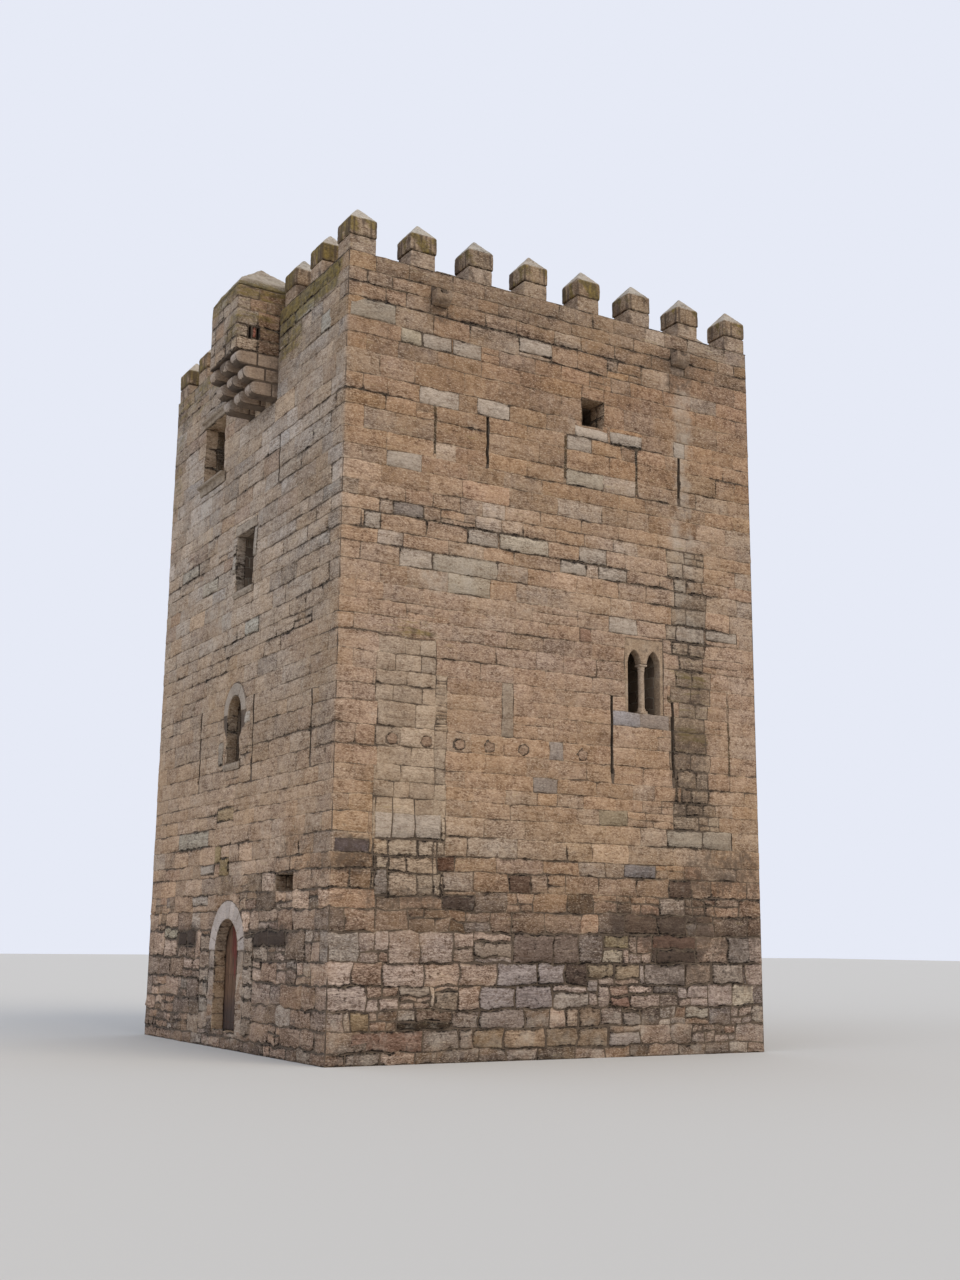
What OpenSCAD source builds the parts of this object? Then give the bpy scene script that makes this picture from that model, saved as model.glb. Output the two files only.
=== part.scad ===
// Square stone keep of a castle: a tower of coursed ashlar with a battlemented top,
// an arched doorway with a plank door, a twin lancet window and a box machicolation.
// Millimetres. Origin at the middle of the foot, +Z up, the door faces -Y.

/* [Tower] */
// Outside width of the square tower
body_w = 10600; // [10000:50:11500]
// Thickness of the four walls
wall_t = 1500; // [1400:50:1800]
// Height of the crenel sills above the foot of the walls
sill_z = 16350; // [16000:50:16800]
// Height of the breast wall from the terrace to the crenel sills
parapet_h = 570; // [520:10:620]
// Thickness of the breast wall, and depth of a merlon
parapet_t = 660; // [600:10:720]

/* [Merlons] */
// Number of merlons along a side, the corner ones counted
merlon_count = 8; // [8]
// Width of a merlon along its wall
merlon_w = 640; // [580:10:700]
// Height of a merlon up to the foot of its pyramid
merlon_h = 760; // [650:10:900]
// Height of the upright part of its cap stone
cap_stone_h = 380; // [320:10:420]
// Height of the pyramid on the cap stone
merlon_cap_h = 390; // [300:10:480]
// Overhang of the cap stone past the block under it
cap_lap = 20; // [10:5:30]

/* [Doorway] */
// Distance of the door's middle from the tower's middle
door_x = 20; // [-40:10:60]
// Clear width of the doorway
door_w = 1350; // [1250:10:1400]
// Height of the threshold above the foot
threshold_z = 360; // [300:10:400]
// Height of the springing of the arch above the threshold
door_spring = 1710; // [1600:10:1800]
// Width of the smooth arch stones
arch_band = 390; // [350:10:430]
// Depth of the outer reveal, up to the back of which the leaf shuts
door_reveal = 250; // [200:10:320]
// Thickness of the door planks
leaf_t = 55; // [40:5:70]
// Number of door planks
plank_count = 6; // [5:1:8]
// Open joint between two planks
plank_gap = 4; // [3:1:6]

/* [Windows] */
// Width of the round headed window over the door
lancet_w = 800; // [740:10:860]
// Width of the square headed window above it
mid_w = 1020; // [900:10:1100]
// Height of that window
mid_h = 1340; // [1250:10:1400]
// Width of the moulded window near the top
moulded_w = 1380; // [1250:10:1450]
// Height of the moulded window
moulded_h = 1520; // [1400:10:1580]
// Width of one light of the twin window
light_w = 350; // [320:10:380]
// Thickness of the column between the two lights
column_d = 150; // [130:5:170]
// Outside width of an arrow slit
slit_w = 80; // [60:5:100]

/* [Machicolation] */
// Distance of its middle from the tower's middle
mach_x = 860; // [700:10:900]
// Outside width of the box
mach_w = 1640; // [1500:10:1700]
// How far the box stands out from the wall
mach_d = 1040; // [900:10:1100]
// Thickness of the box walls
mach_t = 250; // [200:10:280]
// Width of one corbel
corbel_w = 320; // [260:10:340]
// Height of one of the three steps of a corbel
corbel_h = 330; // [300:5:340]
// How far each step stands out past the one below
corbel_step = 185; // [150:5:210]
// Height of the box's roof over its eaves
mach_roof_h = 880; // [700:10:950]

/* [Colours] */
// Stone of the walls
stone_c = "#a98a68"; // ["#a98a68", "#9a8672"]
// Pale stone of caps and surrounds
pale_c = "#b4ab98"; // ["#b4ab98", "#b9ae9c"]
// Painted and weathered wood of the door
wood_c = "#6e3b2e"; // ["#6e3b2e", "#7a6a5a"]
// Bare oak of the floors
oak_c = "#7d6346"; // ["#7d6346", "#6a543c"]
// Wrought iron of the hinges
iron_c = "#3a3632"; // ["#3a3632", "#4a3a30"]

/* [Hidden] */
$fn = 48;
cut = 20;                              // run of a cut past a face
half = body_w / 2;
room = body_w - 2 * wall_t;
terrace_z = sill_z - parapet_h;
merlon_pitch = (body_w - merlon_w) / (merlon_count - 1);

// storeys
floor_t = 340;
board_t = 60;
joist_w = 220;
joist_count = 7;
first_z = 5350;
second_z = 9200;
third_z = 12000;
slab_t = 300;

// doorway
bay_w = 2600;                          // stretch of wall rebuilt round the door
spring_z = threshold_z + door_spring;
arch_r = door_w / 2;
bed_over = 190;                        // masonry over the arch stones to the next bed joint
bay_z = spring_z + arch_r + arch_band + bed_over;
splay = 160;                           // widening of the passage behind the reveal
passage_w = door_w + 2 * splay;
passage_z = spring_z + arch_r + bed_over;
leaf_clear = 8;
plank_bevel = 6;
ledge_h = 150;                         // boards across the back of the planks
ledge_t = 32;
ledge_end = 45;                        // ledge ends this far inside the leaf's edge
leaf_over = 60;                        // lap of the leaf on the reveal, each side
leaf_w = door_w + 2 * leaf_over;
leaf_z0 = threshold_z + 12;
leaf_top = spring_z + arch_r + 70;
leaf_h = leaf_top - leaf_z0;
leaf_y = -half + door_reveal + leaf_clear;
leaf_x = door_x - leaf_w / 2;
strap_t = 8;
strap_h = 60;
strap_len = 1150;
strap_point = 70;                      // length of the pointed end
knuckle_r = 24;
pin_r = 10;
pin_gap = 0.3;
eye_rise = 0.3;                        // running gap under the eye of a strap
hook_r = 14;
hook_h = 34;
pin_top = 20;                          // length of the pin that shows over the eye
pin_x = leaf_x - 20;
pin_y = leaf_y + leaf_t + knuckle_r;
hinge_low = leaf_z0 + 330;
hinge_high = leaf_top - 420;

// windows of the door side
lancet_x = -110;
lancet_z = first_z + 840;
lancet_spring = lancet_z + 1130;
mid_x = 130;
mid_z = second_z + 970;
moulded_x = -2260;
moulded_z = third_z + 1410;
small_x = 3120;
small_z = 3260;
small_w = 880;
small_h = 360;
reveal_d = 400;
thin_reveal = 200;                     // of the square headed window over the door
deep_reveal = 500;                     // of the two windows under the battlements
embrasure = 200;                       // widening of a window towards the room, each side
slit_low = first_z + 530;              // foot of the slits of the first floor
slit_high = third_z + 270;             // foot of the slits of the third floor
slit_low_h = 1740;
slit_high_h = 1080;
// slits of each side: place along the wall, foot, height, widening, shift of the inner end
left_slit = [-2250, slit_low, slit_low_h, 100, 0];
front_slits = [[4180, slit_low, slit_low_h - 500, 100, -650],
    [1960, slit_high + 130, slit_high_h - 70, 180, 0]];
over_slit = [1050, slit_low + 50, slit_low_h, 180, 0];
right_slits = [[-1930, slit_high, slit_high_h, 180, 0],
    [3200, slit_high + 80, slit_high_h - 80, 180, 0],
    [1260, slit_low, slit_low_h, 100, 0], [2910, slit_low + 20, slit_low_h, 60, 0]];
plain_slits = [[-1930, slit_high, slit_high_h, 180, 0], [3200, slit_high, slit_high_h, 180, 0],
    [-2330, slit_low, slit_low_h, 180, 0], [2910, slit_low, slit_low_h, 180, 0]];

// sills and moulded stones, out from the wall and high
sill_out = 70;
sill_h = 170;
sill_lap = 80;                         // of a sill past its window, each side
lintel_h = 240;
lintel_out = 20;
lintel_lap = 150;
hood_out = 110;
hood_h = 260;
hood_lap = 150;
hollow_r = 60;                         // hollow moulding under a hood and a sill
fascia_out = 50;
nose_r = 45;                           // rounded nose of the moulded sill

// spouts that drain the terrace through the breast wall
spout_at = [-3170, 3220];
spout_drop = 790;                      // foot of the spouts under the crenel sills
spout_h = 320;
spout_w = 380;
spout_out = 260;
spout_cant = 110;                      // cut back under the nose
channel_w = 180;
scupper_h = 180;

// windows of the side with the twin window
square_x = 795;
square_z = third_z + 1620;
square_w = 590;
square_h = 640;
twin_x = 2145;
twin_z = first_z + 1900;
twin_cap_z = twin_z + 1120;            // springing of the two pointed arches
light_gap = column_d + 20;             // between the two lights at the arches
twin_w = 2 * light_w + light_gap;
frame_band = 90;
frame_d = 240;
twin_over = 210;                       // stone over the points of the two lights
twin_top = twin_cap_z + light_w + twin_over;
base_w = 200;                          // square foot of the column
base_h = 70;
shaft_foot = 150;                      // top of the moulded base
capital_h = 160;

// machicolation
mach_z0 = sill_z - 1120;
mach_eave = sill_z + 420;
mach_out = -half - mach_d;
roof_lap = 30;                         // of the roof past the box, each side
roof_course = 240;                     // steep lowest course of the roof
roof_in = 130;                         // how far that course leans in
corbel_x = (mach_w - corbel_w) / 2;
loop_w = 70;                           // two upright slots of a loophole
loop_h = 300;
loop_z = 300;                          // their foot over the foot of the box
loop_in = 30;                          // first slot behind the front wall of the box
loop_apart = 190;

// A wall is drawn as the door side and turned to its place
module side(quarter) {
    rotate([0, 0, 90 * quarter]) children();
}

// straight block given by its corners in the frame of the door side, y measured inwards
module wall_block(x0, x1, y0, y1, z0, z1) {
    translate([x0, -half + y0, z0]) cube([x1 - x0, y1 - y0, z1 - z0]);
}

// opening with an outer reveal and an inner part that widens to the room
module window_cut(x, z, w, h, deep = reveal_d, grow = embrasure) {
    translate([x, -half, z]) linear_extrude(h) polygon([
        [-w / 2, -cut], [w / 2, -cut], [w / 2, deep], [w / 2 + grow, wall_t + cut],
        [-w / 2 - grow, wall_t + cut], [-w / 2, deep]]);
}

// arrow slit, narrow outside and wide inside; aim moves its inner end along the wall
module slit_cut(slit) {
    wide = slit_w / 2 + slit[3];
    aim = slit[4];
    translate([slit[0], -half, slit[1]]) linear_extrude(slit[2]) polygon([
        [-slit_w / 2, -cut], [slit_w / 2, -cut], [slit_w / 2, embrasure],
        [aim + wide, wall_t + cut], [aim - wide, wall_t + cut], [-slit_w / 2, embrasure]]);
}

// upright profile in the plane of the wall, carried inwards from y0 to y1
module through(y0, y1) {
    translate([0, -half + y1, 0]) rotate([90, 0, 0]) linear_extrude(y1 - y0) children();
}

// stone carried along the wall, with its profile drawn outwards and upwards
module run_along(x0, x1) {
    translate([x0, -half, 0]) rotate([90, 0, 90]) linear_extrude(x1 - x0)
        mirror([1, 0]) children();
}

// closed stone of rectangular sections, each given as width, depth and height, with a peak
module hood(sections, peak) {
    n = len(sections);
    corners = [[-1, -1], [1, -1], [1, 1], [-1, 1]];
    polyhedron(
        points = [for (s = sections) for (c = corners) [c[0] * s[0] / 2, c[1] * s[1] / 2, s[2]],
            [0, 0, peak]],
        faces = [[0, 1, 2, 3],
            for (k = [0:n - 2]) for (i = [0:3])
                [4 * k + (i + 1) % 4, 4 * k + i, 4 * k + 4 + i, 4 * k + 4 + (i + 1) % 4],
            for (i = [0:3]) [4 * n - 4 + (i + 1) % 4, 4 * n - 4 + i, 4 * n]]);
}

module round_head(x, z0, spring, w) {
    translate([x - w / 2, z0]) square([w, spring - z0]);
    translate([x, spring]) circle(d = w);
}

// pointed arch with each side struck from the foot of the other
module pointed_light(x, z0, spring, w) {
    translate([x - w / 2, z0]) square([w, spring - z0]);
    translate([x, spring]) intersection() {
        translate([-w / 2, 0]) circle(r = w);
        translate([w / 2, 0]) circle(r = w);
        translate([-w / 2, 0]) square([w, w]);
    }
}

module front_wall_left() color(stone_c) difference() {
    wall_block(-half, door_x - bay_w / 2, 0, wall_t, 0, terrace_z);
    window_cut(moulded_x, moulded_z, moulded_w, moulded_h, deep_reveal);
    slit_cut(left_slit);
}

module front_wall_right() color(stone_c) difference() {
    wall_block(door_x + bay_w / 2, half, 0, wall_t, 0, terrace_z);
    window_cut(small_x, small_z, small_w, small_h);
    for (slit = front_slits) slit_cut(slit);
}

module front_wall_over() color(stone_c) difference() {
    wall_block(door_x - bay_w / 2, door_x + bay_w / 2, 0, wall_t, bay_z, terrace_z);
    through(-cut, reveal_d) round_head(lancet_x, lancet_z, lancet_spring, lancet_w);
    through(-cut, frame_d) lancet_ring();
    window_cut(lancet_x, lancet_z, lancet_w, lancet_spring + lancet_w / 2 - lancet_z, frame_d);
    window_cut(mid_x, mid_z, mid_w, mid_h, thin_reveal);
    slit_cut(over_slit);
}

module door_head() color(stone_c) difference() {
    wall_block(door_x - bay_w / 2, door_x + bay_w / 2, 0, wall_t, spring_z, bay_z);
    through(-cut, door_reveal) translate([door_x, spring_z]) circle(r = arch_r + arch_band);
    wall_block(door_x - passage_w / 2, door_x + passage_w / 2, door_reveal - cut,
        wall_t + cut, spring_z - cut, passage_z);
}

module door_jamb_left() color(stone_c) {
    wall_block(door_x - bay_w / 2, door_x - arch_r, 0, door_reveal, threshold_z, spring_z);
    wall_block(door_x - bay_w / 2, door_x - passage_w / 2, door_reveal - cut, wall_t,
        threshold_z, spring_z);
}

module door_jamb_right() color(stone_c) {
    wall_block(door_x + arch_r, door_x + bay_w / 2, 0, door_reveal, threshold_z, spring_z);
    wall_block(door_x + passage_w / 2, door_x + bay_w / 2, door_reveal - cut, wall_t,
        threshold_z, spring_z);
}

module door_threshold() color(stone_c)
    wall_block(door_x - bay_w / 2, door_x + bay_w / 2, 0, wall_t, 0, threshold_z);

module door_arch() color(pale_c) through(0, door_reveal) translate([door_x, spring_z])
    intersection() {
        difference() {
            circle(r = arch_r + arch_band);
            circle(r = arch_r);
        }
        translate([-bay_w / 2, 0]) square([bay_w, bay_w]);
    }

// side wall between the two full width walls
module side_wall_block() wall_block(-half + wall_t, half - wall_t, 0, wall_t, 0, terrace_z);

module right_wall() color(stone_c) side(1) difference() {
    side_wall_block();
    window_cut(square_x, square_z, square_w, square_h, deep_reveal);
    wall_block(twin_x - twin_w / 2 - frame_band, twin_x + twin_w / 2 + frame_band, -cut,
        frame_d, twin_z, twin_top);
    wall_block(twin_x - twin_w / 2, twin_x + twin_w / 2, 0, wall_t + cut, twin_z,
        twin_top - frame_band);
    for (slit = right_slits) slit_cut(slit);
}

module back_wall() color(stone_c) side(2) difference() {
    wall_block(-half, half, 0, wall_t, 0, terrace_z);
    window_cut(square_x, square_z, square_w, square_h, deep_reveal);
    window_cut(mid_x, mid_z, mid_w, mid_h, thin_reveal);
    for (slit = plain_slits) slit_cut(slit);
}

module left_wall() color(stone_c) side(3) difference() {
    side_wall_block();
    window_cut(square_x, square_z, square_w, square_h, deep_reveal);
    for (slit = plain_slits) slit_cut(slit);
}

module ground_floor() color(stone_c)
    translate([-room / 2, -room / 2, 0]) cube([room, room, threshold_z]);

module timber_floor(z) color(oak_c) {
    translate([-room / 2, -room / 2, z - board_t]) cube([room, room, board_t]);
    for (i = [0:joist_count - 1])
        translate([-room / 2 + (i + 0.5) * room / joist_count - joist_w / 2, -room / 2,
            z - floor_t]) cube([joist_w, room, floor_t - board_t / 2]);
}

module first_floor() timber_floor(first_z);
module second_floor() timber_floor(second_z);
module third_floor() timber_floor(third_z);

module terrace() color(stone_c)
    translate([-room / 2, -room / 2, terrace_z - slab_t]) cube([room, room, slab_t]);

function merlon_x(i) = -half + merlon_w / 2 + i * merlon_pitch;
mach_in = mach_w - 2 * mach_t;
last = merlon_count - 1;
// merlons of the door side, of which the box takes the place of one
front_set = [for (i = [1:last - 1]) if (abs(merlon_x(i) - mach_x) > (mach_w + merlon_w) / 2) i];
all_set = [for (i = [1:last - 1]) i];
end_set = [for (i = [0:last]) i];

module front_parapet() color(stone_c) {
    wall_block(-half, mach_x - mach_in / 2, 0, parapet_t, terrace_z, sill_z);
    wall_block(mach_x + mach_in / 2, half, 0, parapet_t, terrace_z, sill_z);
}

module side_parapet() wall_block(-half + parapet_t, half - parapet_t, 0, parapet_t,
    terrace_z, sill_z);

module right_parapet() color(stone_c) side(1) difference() {
    side_parapet();
    for (x = spout_at) wall_block(x - channel_w / 2, x + channel_w / 2, -cut, parapet_t + cut,
        terrace_z - cut, terrace_z + scupper_h);
}

module back_parapet() color(stone_c) side(2)
    wall_block(-half, half, 0, parapet_t, terrace_z, sill_z);
module left_parapet() color(stone_c) side(3) side_parapet();

// block of a merlon, a little smaller than the cap stone on it
module merlons(set) color(stone_c) for (i = set)
    wall_block(merlon_x(i) - merlon_w / 2 + cap_lap, merlon_x(i) + merlon_w / 2 - cap_lap,
        cap_lap, parapet_t - cap_lap, sill_z, sill_z + merlon_h - cap_stone_h);

// cap stone with a low four sided pyramid
module merlon_caps(set) color(pale_c) for (i = set)
    translate([merlon_x(i), -half + parapet_t / 2, sill_z + merlon_h - cap_stone_h])
        hood([[merlon_w, parapet_t, 0], [merlon_w, parapet_t, cap_stone_h]],
            cap_stone_h + merlon_cap_h);

module front_merlons() merlons(front_set);
module right_merlons() side(1) merlons(end_set);
module back_merlons() side(2) merlons(all_set);
module left_merlons() side(3) merlons(end_set);
module front_merlon_caps() merlon_caps(front_set);
module right_merlon_caps() side(1) merlon_caps(end_set);
module back_merlon_caps() side(2) merlon_caps(all_set);
module left_merlon_caps() side(3) merlon_caps(end_set);

// Three corbels in three steps with rolled ends, which carry the box
module corbel_profile() for (k = [0:2])
    translate([0, mach_z0 - (k + 1) * corbel_h]) {
        square([mach_d - k * corbel_step - corbel_h / 2, corbel_h]);
        translate([mach_d - k * corbel_step - corbel_h / 2, corbel_h / 2]) circle(d = corbel_h);
    }

module machicolation_corbels() color(stone_c) for (s = [-1:1])
    translate([mach_x + s * corbel_x + corbel_w / 2, -half, 0]) rotate([90, 0, -90])
        linear_extrude(corbel_w) corbel_profile();

module machicolation_front() color(stone_c)
    translate([mach_x - mach_w / 2, mach_out, mach_z0])
        cube([mach_w, mach_t, mach_eave - mach_z0]);

module machicolation_sides() color(stone_c) for (s = [-1, 1])
    translate([mach_x + s * (mach_w - mach_t) / 2 - mach_t / 2, 0, 0]) difference() {
        union() {
            translate([0, mach_out + mach_t, mach_z0])
                cube([mach_t, mach_d - mach_t, mach_eave - mach_z0]);
            translate([0, -half - cut, sill_z])
                cube([mach_t, parapet_t + cut, mach_eave - sill_z]);
        }
        // loophole of two slots with a stone between
        for (o = [0, loop_apart])
            translate([-cut, mach_out + mach_t + loop_in + o, mach_z0 + loop_z])
                cube([mach_t + 2 * cut, loop_w, loop_h]);
    }

// roof of the box: a steep lowest course under a low pyramid
module machicolation_cap() color(pale_c) {
    wide = mach_w + 2 * roof_lap;
    deep = mach_d + parapet_t + roof_lap;
    translate([mach_x, mach_out - roof_lap + deep / 2, mach_eave])
        hood([[wide, deep, 0], [wide - 2 * roof_in, deep - 2 * roof_in, roof_course]],
            mach_roof_h);
}

module lancet_ring() translate([lancet_x, lancet_spring]) intersection() {
    circle(d = lancet_w + 560);
    translate([-lancet_w, 0]) square([2 * lancet_w, 2 * lancet_w]);
}

// thin sill with a sloped top and a drip under its nose
module plain_sill(x, z, w, h, out) run_along(x - w / 2 - sill_lap, x + w / 2 + sill_lap)
    polygon([[0, z], [out, z - h * 0.2], [out, z - h * 0.7], [out * 0.6, z - h * 0.7],
        [out * 0.6, z - h], [0, z - h]]);

module lancet_surround() color(pale_c) {
    through(0, frame_d) difference() {
        lancet_ring();
        translate([lancet_x, lancet_spring]) circle(d = lancet_w);
    }
    plain_sill(lancet_x, lancet_z, lancet_w, sill_h, sill_out);
}

// flat lintel and thin sill that stand out from the face
module window_trim() color(pale_c) {
    wall_block(mid_x - mid_w / 2 - lintel_lap, mid_x + mid_w / 2 + lintel_lap, -lintel_out, 0,
        mid_z + mid_h, mid_z + mid_h + lintel_h);
    plain_sill(mid_x, mid_z, mid_w, sill_h, sill_out);
}

// hood of a fascia, a hollow and a fillet with a sloped top
module moulded_window_head() color(pale_c)
    run_along(moulded_x - moulded_w / 2 - hood_lap, moulded_x + moulded_w / 2 + hood_lap)
        translate([0, moulded_z + moulded_h]) difference() {
            polygon([[0, 0], [fascia_out, 0], [fascia_out, hollow_r],
                [hood_out, hollow_r], [hood_out, hood_h - hollow_r], [0, hood_h]]);
            translate([hood_out, hollow_r]) circle(r = hollow_r);
        }

// sill of a rounded nose over a hollow
module moulded_window_sill() color(pale_c)
    run_along(moulded_x - moulded_w / 2 - hood_lap, moulded_x + moulded_w / 2 + hood_lap)
        translate([0, moulded_z]) {
            translate([0, -2 * nose_r]) square([hood_out, 2 * nose_r]);
            translate([hood_out, -nose_r]) circle(r = nose_r);
            difference() {
                translate([0, -hood_h]) square([hood_out, hood_h - nose_r]);
                translate([hood_out, -2 * nose_r - hollow_r]) circle(r = hollow_r);
                translate([fascia_out, -hood_h - cut])
                    square([hood_out, hood_h - 2 * nose_r - hollow_r + cut]);
            }
        }

module twin_window_head() color(pale_c) side(1) through(0, frame_d) difference() {
    translate([twin_x - twin_w / 2 - frame_band, twin_z])
        square([twin_w + 2 * frame_band, twin_top - twin_z]);
    for (s = [-1, 1]) pointed_light(twin_x + s * (light_w + light_gap) / 2, twin_z - cut,
        twin_cap_z, light_w);
    translate([twin_x - twin_w / 2, twin_z - cut]) square([twin_w, twin_cap_z - twin_z + cut]);
}

// column with a moulded base and a capital under the springing of the two arches
module twin_window_column() color(pale_c) side(1)
    translate([twin_x, -half + frame_d / 2, twin_z]) {
        r = column_d / 2;
        h = twin_cap_z - twin_z;
        neck = h - capital_h;
        abacus_h = 50;
        translate([-base_w / 2, -base_w / 2, 0]) cube([base_w, base_w, base_h]);
        rotate_extrude() {
            difference() {
                translate([0, base_h - 10]) square([base_w / 2 - 5, shaft_foot - base_h]);
                translate([base_w / 2 + 10, shaft_foot - 10]) circle(r = base_w / 2 + 10 - r - 6);
            }
            polygon([[0, base_h], [r, base_h], [r - 4, neck], [r + 8, neck + 8],
                [r + 8, neck + 22], [r, neck + 32], [base_w / 2 - 10, h - abacus_h + 5],
                [0, h - abacus_h + 5]]);
        }
        translate([-base_w / 2, -base_w / 2, h - abacus_h]) cube([base_w, base_w, abacus_h]);
    }

// stone spouts with an open channel that starts at the scupper behind them
module water_spouts() color(stone_c) side(1) for (x = spout_at) {
    foot = sill_z - spout_drop;
    difference() {
        run_along(x - spout_w / 2, x + spout_w / 2) polygon([[0, foot],
            [spout_out - spout_cant, foot], [spout_out, foot + spout_cant],
            [spout_out, foot + spout_h], [0, foot + spout_h]]);
        wall_block(x - channel_w / 2, x + channel_w / 2, -spout_out - cut, cut, terrace_z,
            foot + spout_h + cut);
    }
}

// planks with bevelled edges and open joints, held by three ledges at the back
module door_leaf() color(wood_c) {
    pitch = leaf_w / plank_count;
    e = plank_gap / 2;
    b = plank_bevel;
    for (i = [0:plank_count - 1])
        translate([leaf_x + i * pitch, leaf_y, leaf_z0]) linear_extrude(leaf_h) polygon([
            [e, b], [e + b, 0], [pitch - e - b, 0], [pitch - e, b], [pitch - e, leaf_t],
            [e, leaf_t]]);
    for (z = [leaf_z0 + 90, (hinge_low + hinge_high - ledge_h) / 2, leaf_top - 90 - ledge_h])
        translate([leaf_x + ledge_end, leaf_y + leaf_t, z])
            cube([leaf_w - 2 * ledge_end, ledge_t, ledge_h]);
}

module door_straps() color(iron_c) for (z = [hinge_low, hinge_high]) difference() {
    union() {
        translate([pin_x, leaf_y + leaf_t + strap_t, z]) rotate([90, 0, 0])
            linear_extrude(strap_t) polygon([[0, 0], [strap_len - strap_point, 0],
                [strap_len, strap_h / 2], [strap_len - strap_point, strap_h], [0, strap_h]]);
        translate([pin_x, pin_y, z]) cylinder(r = knuckle_r, h = strap_h);
    }
    translate([pin_x, pin_y, z - cut]) cylinder(r = pin_r + pin_gap, h = strap_h + 2 * cut);
}

// hooks built into the side of the passage, on which the straps turn
module door_pintles() color(iron_c) for (z = [hinge_low, hinge_high])
    translate([pin_x, pin_y, z - eye_rise - hook_h]) {
        translate([door_x - passage_w / 2 - pin_x, -hook_r, 0])
            cube([pin_x - door_x + passage_w / 2, 2 * hook_r, hook_h]);
        cylinder(r = hook_r, h = hook_h);
        cylinder(r = pin_r, h = hook_h + strap_h + pin_top);
    }

front_wall_left();
front_wall_right();
front_wall_over();
door_head();
door_jamb_left();
door_jamb_right();
door_threshold();
door_arch();
right_wall();
back_wall();
left_wall();
ground_floor();
first_floor();
second_floor();
third_floor();
terrace();
front_parapet();
right_parapet();
back_parapet();
left_parapet();
front_merlons();
right_merlons();
back_merlons();
left_merlons();
front_merlon_caps();
right_merlon_caps();
back_merlon_caps();
left_merlon_caps();
machicolation_corbels();
machicolation_front();
machicolation_sides();
machicolation_cap();
lancet_surround();
window_trim();
moulded_window_head();
moulded_window_sill();
twin_window_head();
twin_window_column();
water_spouts();
door_leaf();
door_straps();
door_pintles();
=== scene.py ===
# %% [markdown]
# # A castle keep in weathered sandstone
# A square stone tower of coursed ashlar, with capped merlons, an arched plank door, a twin
# lancet window and a box machicolation. Every piece is drawn in metres in one frame: the foot
# of the walls is z = 0, the door faces -Y and the twin window faces +X.
# The plain wall solids are the mortar bed; the single stones are laid on them here.

# %% Start from the frame
import bpy
import bmesh
import math
import numpy as np
from mathutils import Matrix, Vector


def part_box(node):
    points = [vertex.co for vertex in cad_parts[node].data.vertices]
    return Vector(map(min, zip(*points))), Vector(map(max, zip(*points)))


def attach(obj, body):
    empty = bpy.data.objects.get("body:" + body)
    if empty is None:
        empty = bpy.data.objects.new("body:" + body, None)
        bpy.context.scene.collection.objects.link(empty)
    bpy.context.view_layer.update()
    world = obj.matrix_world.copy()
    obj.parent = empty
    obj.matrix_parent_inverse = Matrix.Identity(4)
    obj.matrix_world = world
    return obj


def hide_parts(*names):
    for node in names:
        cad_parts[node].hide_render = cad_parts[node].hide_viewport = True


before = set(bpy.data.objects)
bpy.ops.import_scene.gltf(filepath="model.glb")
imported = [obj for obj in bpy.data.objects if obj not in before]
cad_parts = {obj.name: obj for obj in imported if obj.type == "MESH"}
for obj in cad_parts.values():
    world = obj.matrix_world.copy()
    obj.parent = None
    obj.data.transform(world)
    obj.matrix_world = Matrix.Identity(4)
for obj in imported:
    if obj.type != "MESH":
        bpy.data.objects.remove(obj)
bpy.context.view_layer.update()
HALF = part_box("back_wall")[1][0]
WIDE = 2 * HALF
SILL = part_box("right_parapet")[1][2]
print("tower", round(WIDE, 3), "m wide, crenel sills at", round(SILL, 3), "m")


# %% [markdown]
# Colours are chosen as sRGB hex codes, and a shader wants linear light, so one function turns the
# one into the other. One function adds a shader node with its settings and links: a material then
# reads as a list of what is mixed with what. Most nodes are sums or layers of colour, and their
# settings have short names. An operator acts on all that is selected, so everything is deselected
# before the object that it is meant for is picked up.

# %% Helpers
def srgb(code):
    """Red, green and blue of a hex code, from 0 to 255."""
    return np.array([int(code[i:i + 2], 16) for i in (1, 3, 5)], float)


def linear(colour):
    """Linear light of a hex code, or of red, green and blue from 0 to 255."""
    c = np.clip((srgb(colour) if isinstance(colour, str) else np.asarray(colour)) / 255, 0, 1)
    return np.where(c <= 0.04045, c / 12.92, ((c + 0.055) / 1.055) ** 2.4)


def for_socket(value):
    """A hex code as the colour that a socket takes; a number stays as it is."""
    return [*linear(value), 1] if isinstance(value, str) else value


PLUS, LESS, TIMES, TIMES_PLUS, MOST, LEAST, SIZE, ROOT = (
    {"operation": how} for how in ("ADD", "SUBTRACT", "MULTIPLY", "MULTIPLY_ADD", "MAXIMUM",
                                   "MINIMUM", "ABSOLUTE", "SQRT"))
OVER, SHADE = ({"data_type": "RGBA", "blend_type": how} for how in ("MIX", "MULTIPLY"))


def add(mat, kind, *given, out=0, **more):
    """Add a shader node and return its output `out`. What is given fills the sockets in use in
    their order, a name with a capital fills the socket of that name, a small one is a setting.
    A socket takes a number, a hex code, or the output of another node, to which it is linked."""
    tree = mat.node_tree
    node = tree.nodes.new("ShaderNode" + kind)
    for name, value in more.items():
        if name.islower():
            setattr(node, name, value)
    values = list(zip([socket for socket in node.inputs if socket.enabled], given))
    values += [(node.inputs[name.replace("_", " ")], value)
               for name, value in more.items() if not name.islower()]
    for socket, value in values:
        if isinstance(value, bpy.types.NodeSocket):
            tree.links.new(value, socket)
        else:
            socket.default_value = for_socket(value)
    if isinstance(out, str):
        return node.outputs[out]
    return [socket for socket in node.outputs if socket.enabled][out]


def material(name, **constants):
    """A new material, with these constants on its shader's own sockets."""
    mat = bpy.data.materials.new(name)
    mat.use_nodes = True
    sockets = mat.node_tree.nodes["Principled BSDF"].inputs
    for key, value in constants.items():
        sockets[key.replace("_", " ")].default_value = for_socket(value)
    return mat


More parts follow.
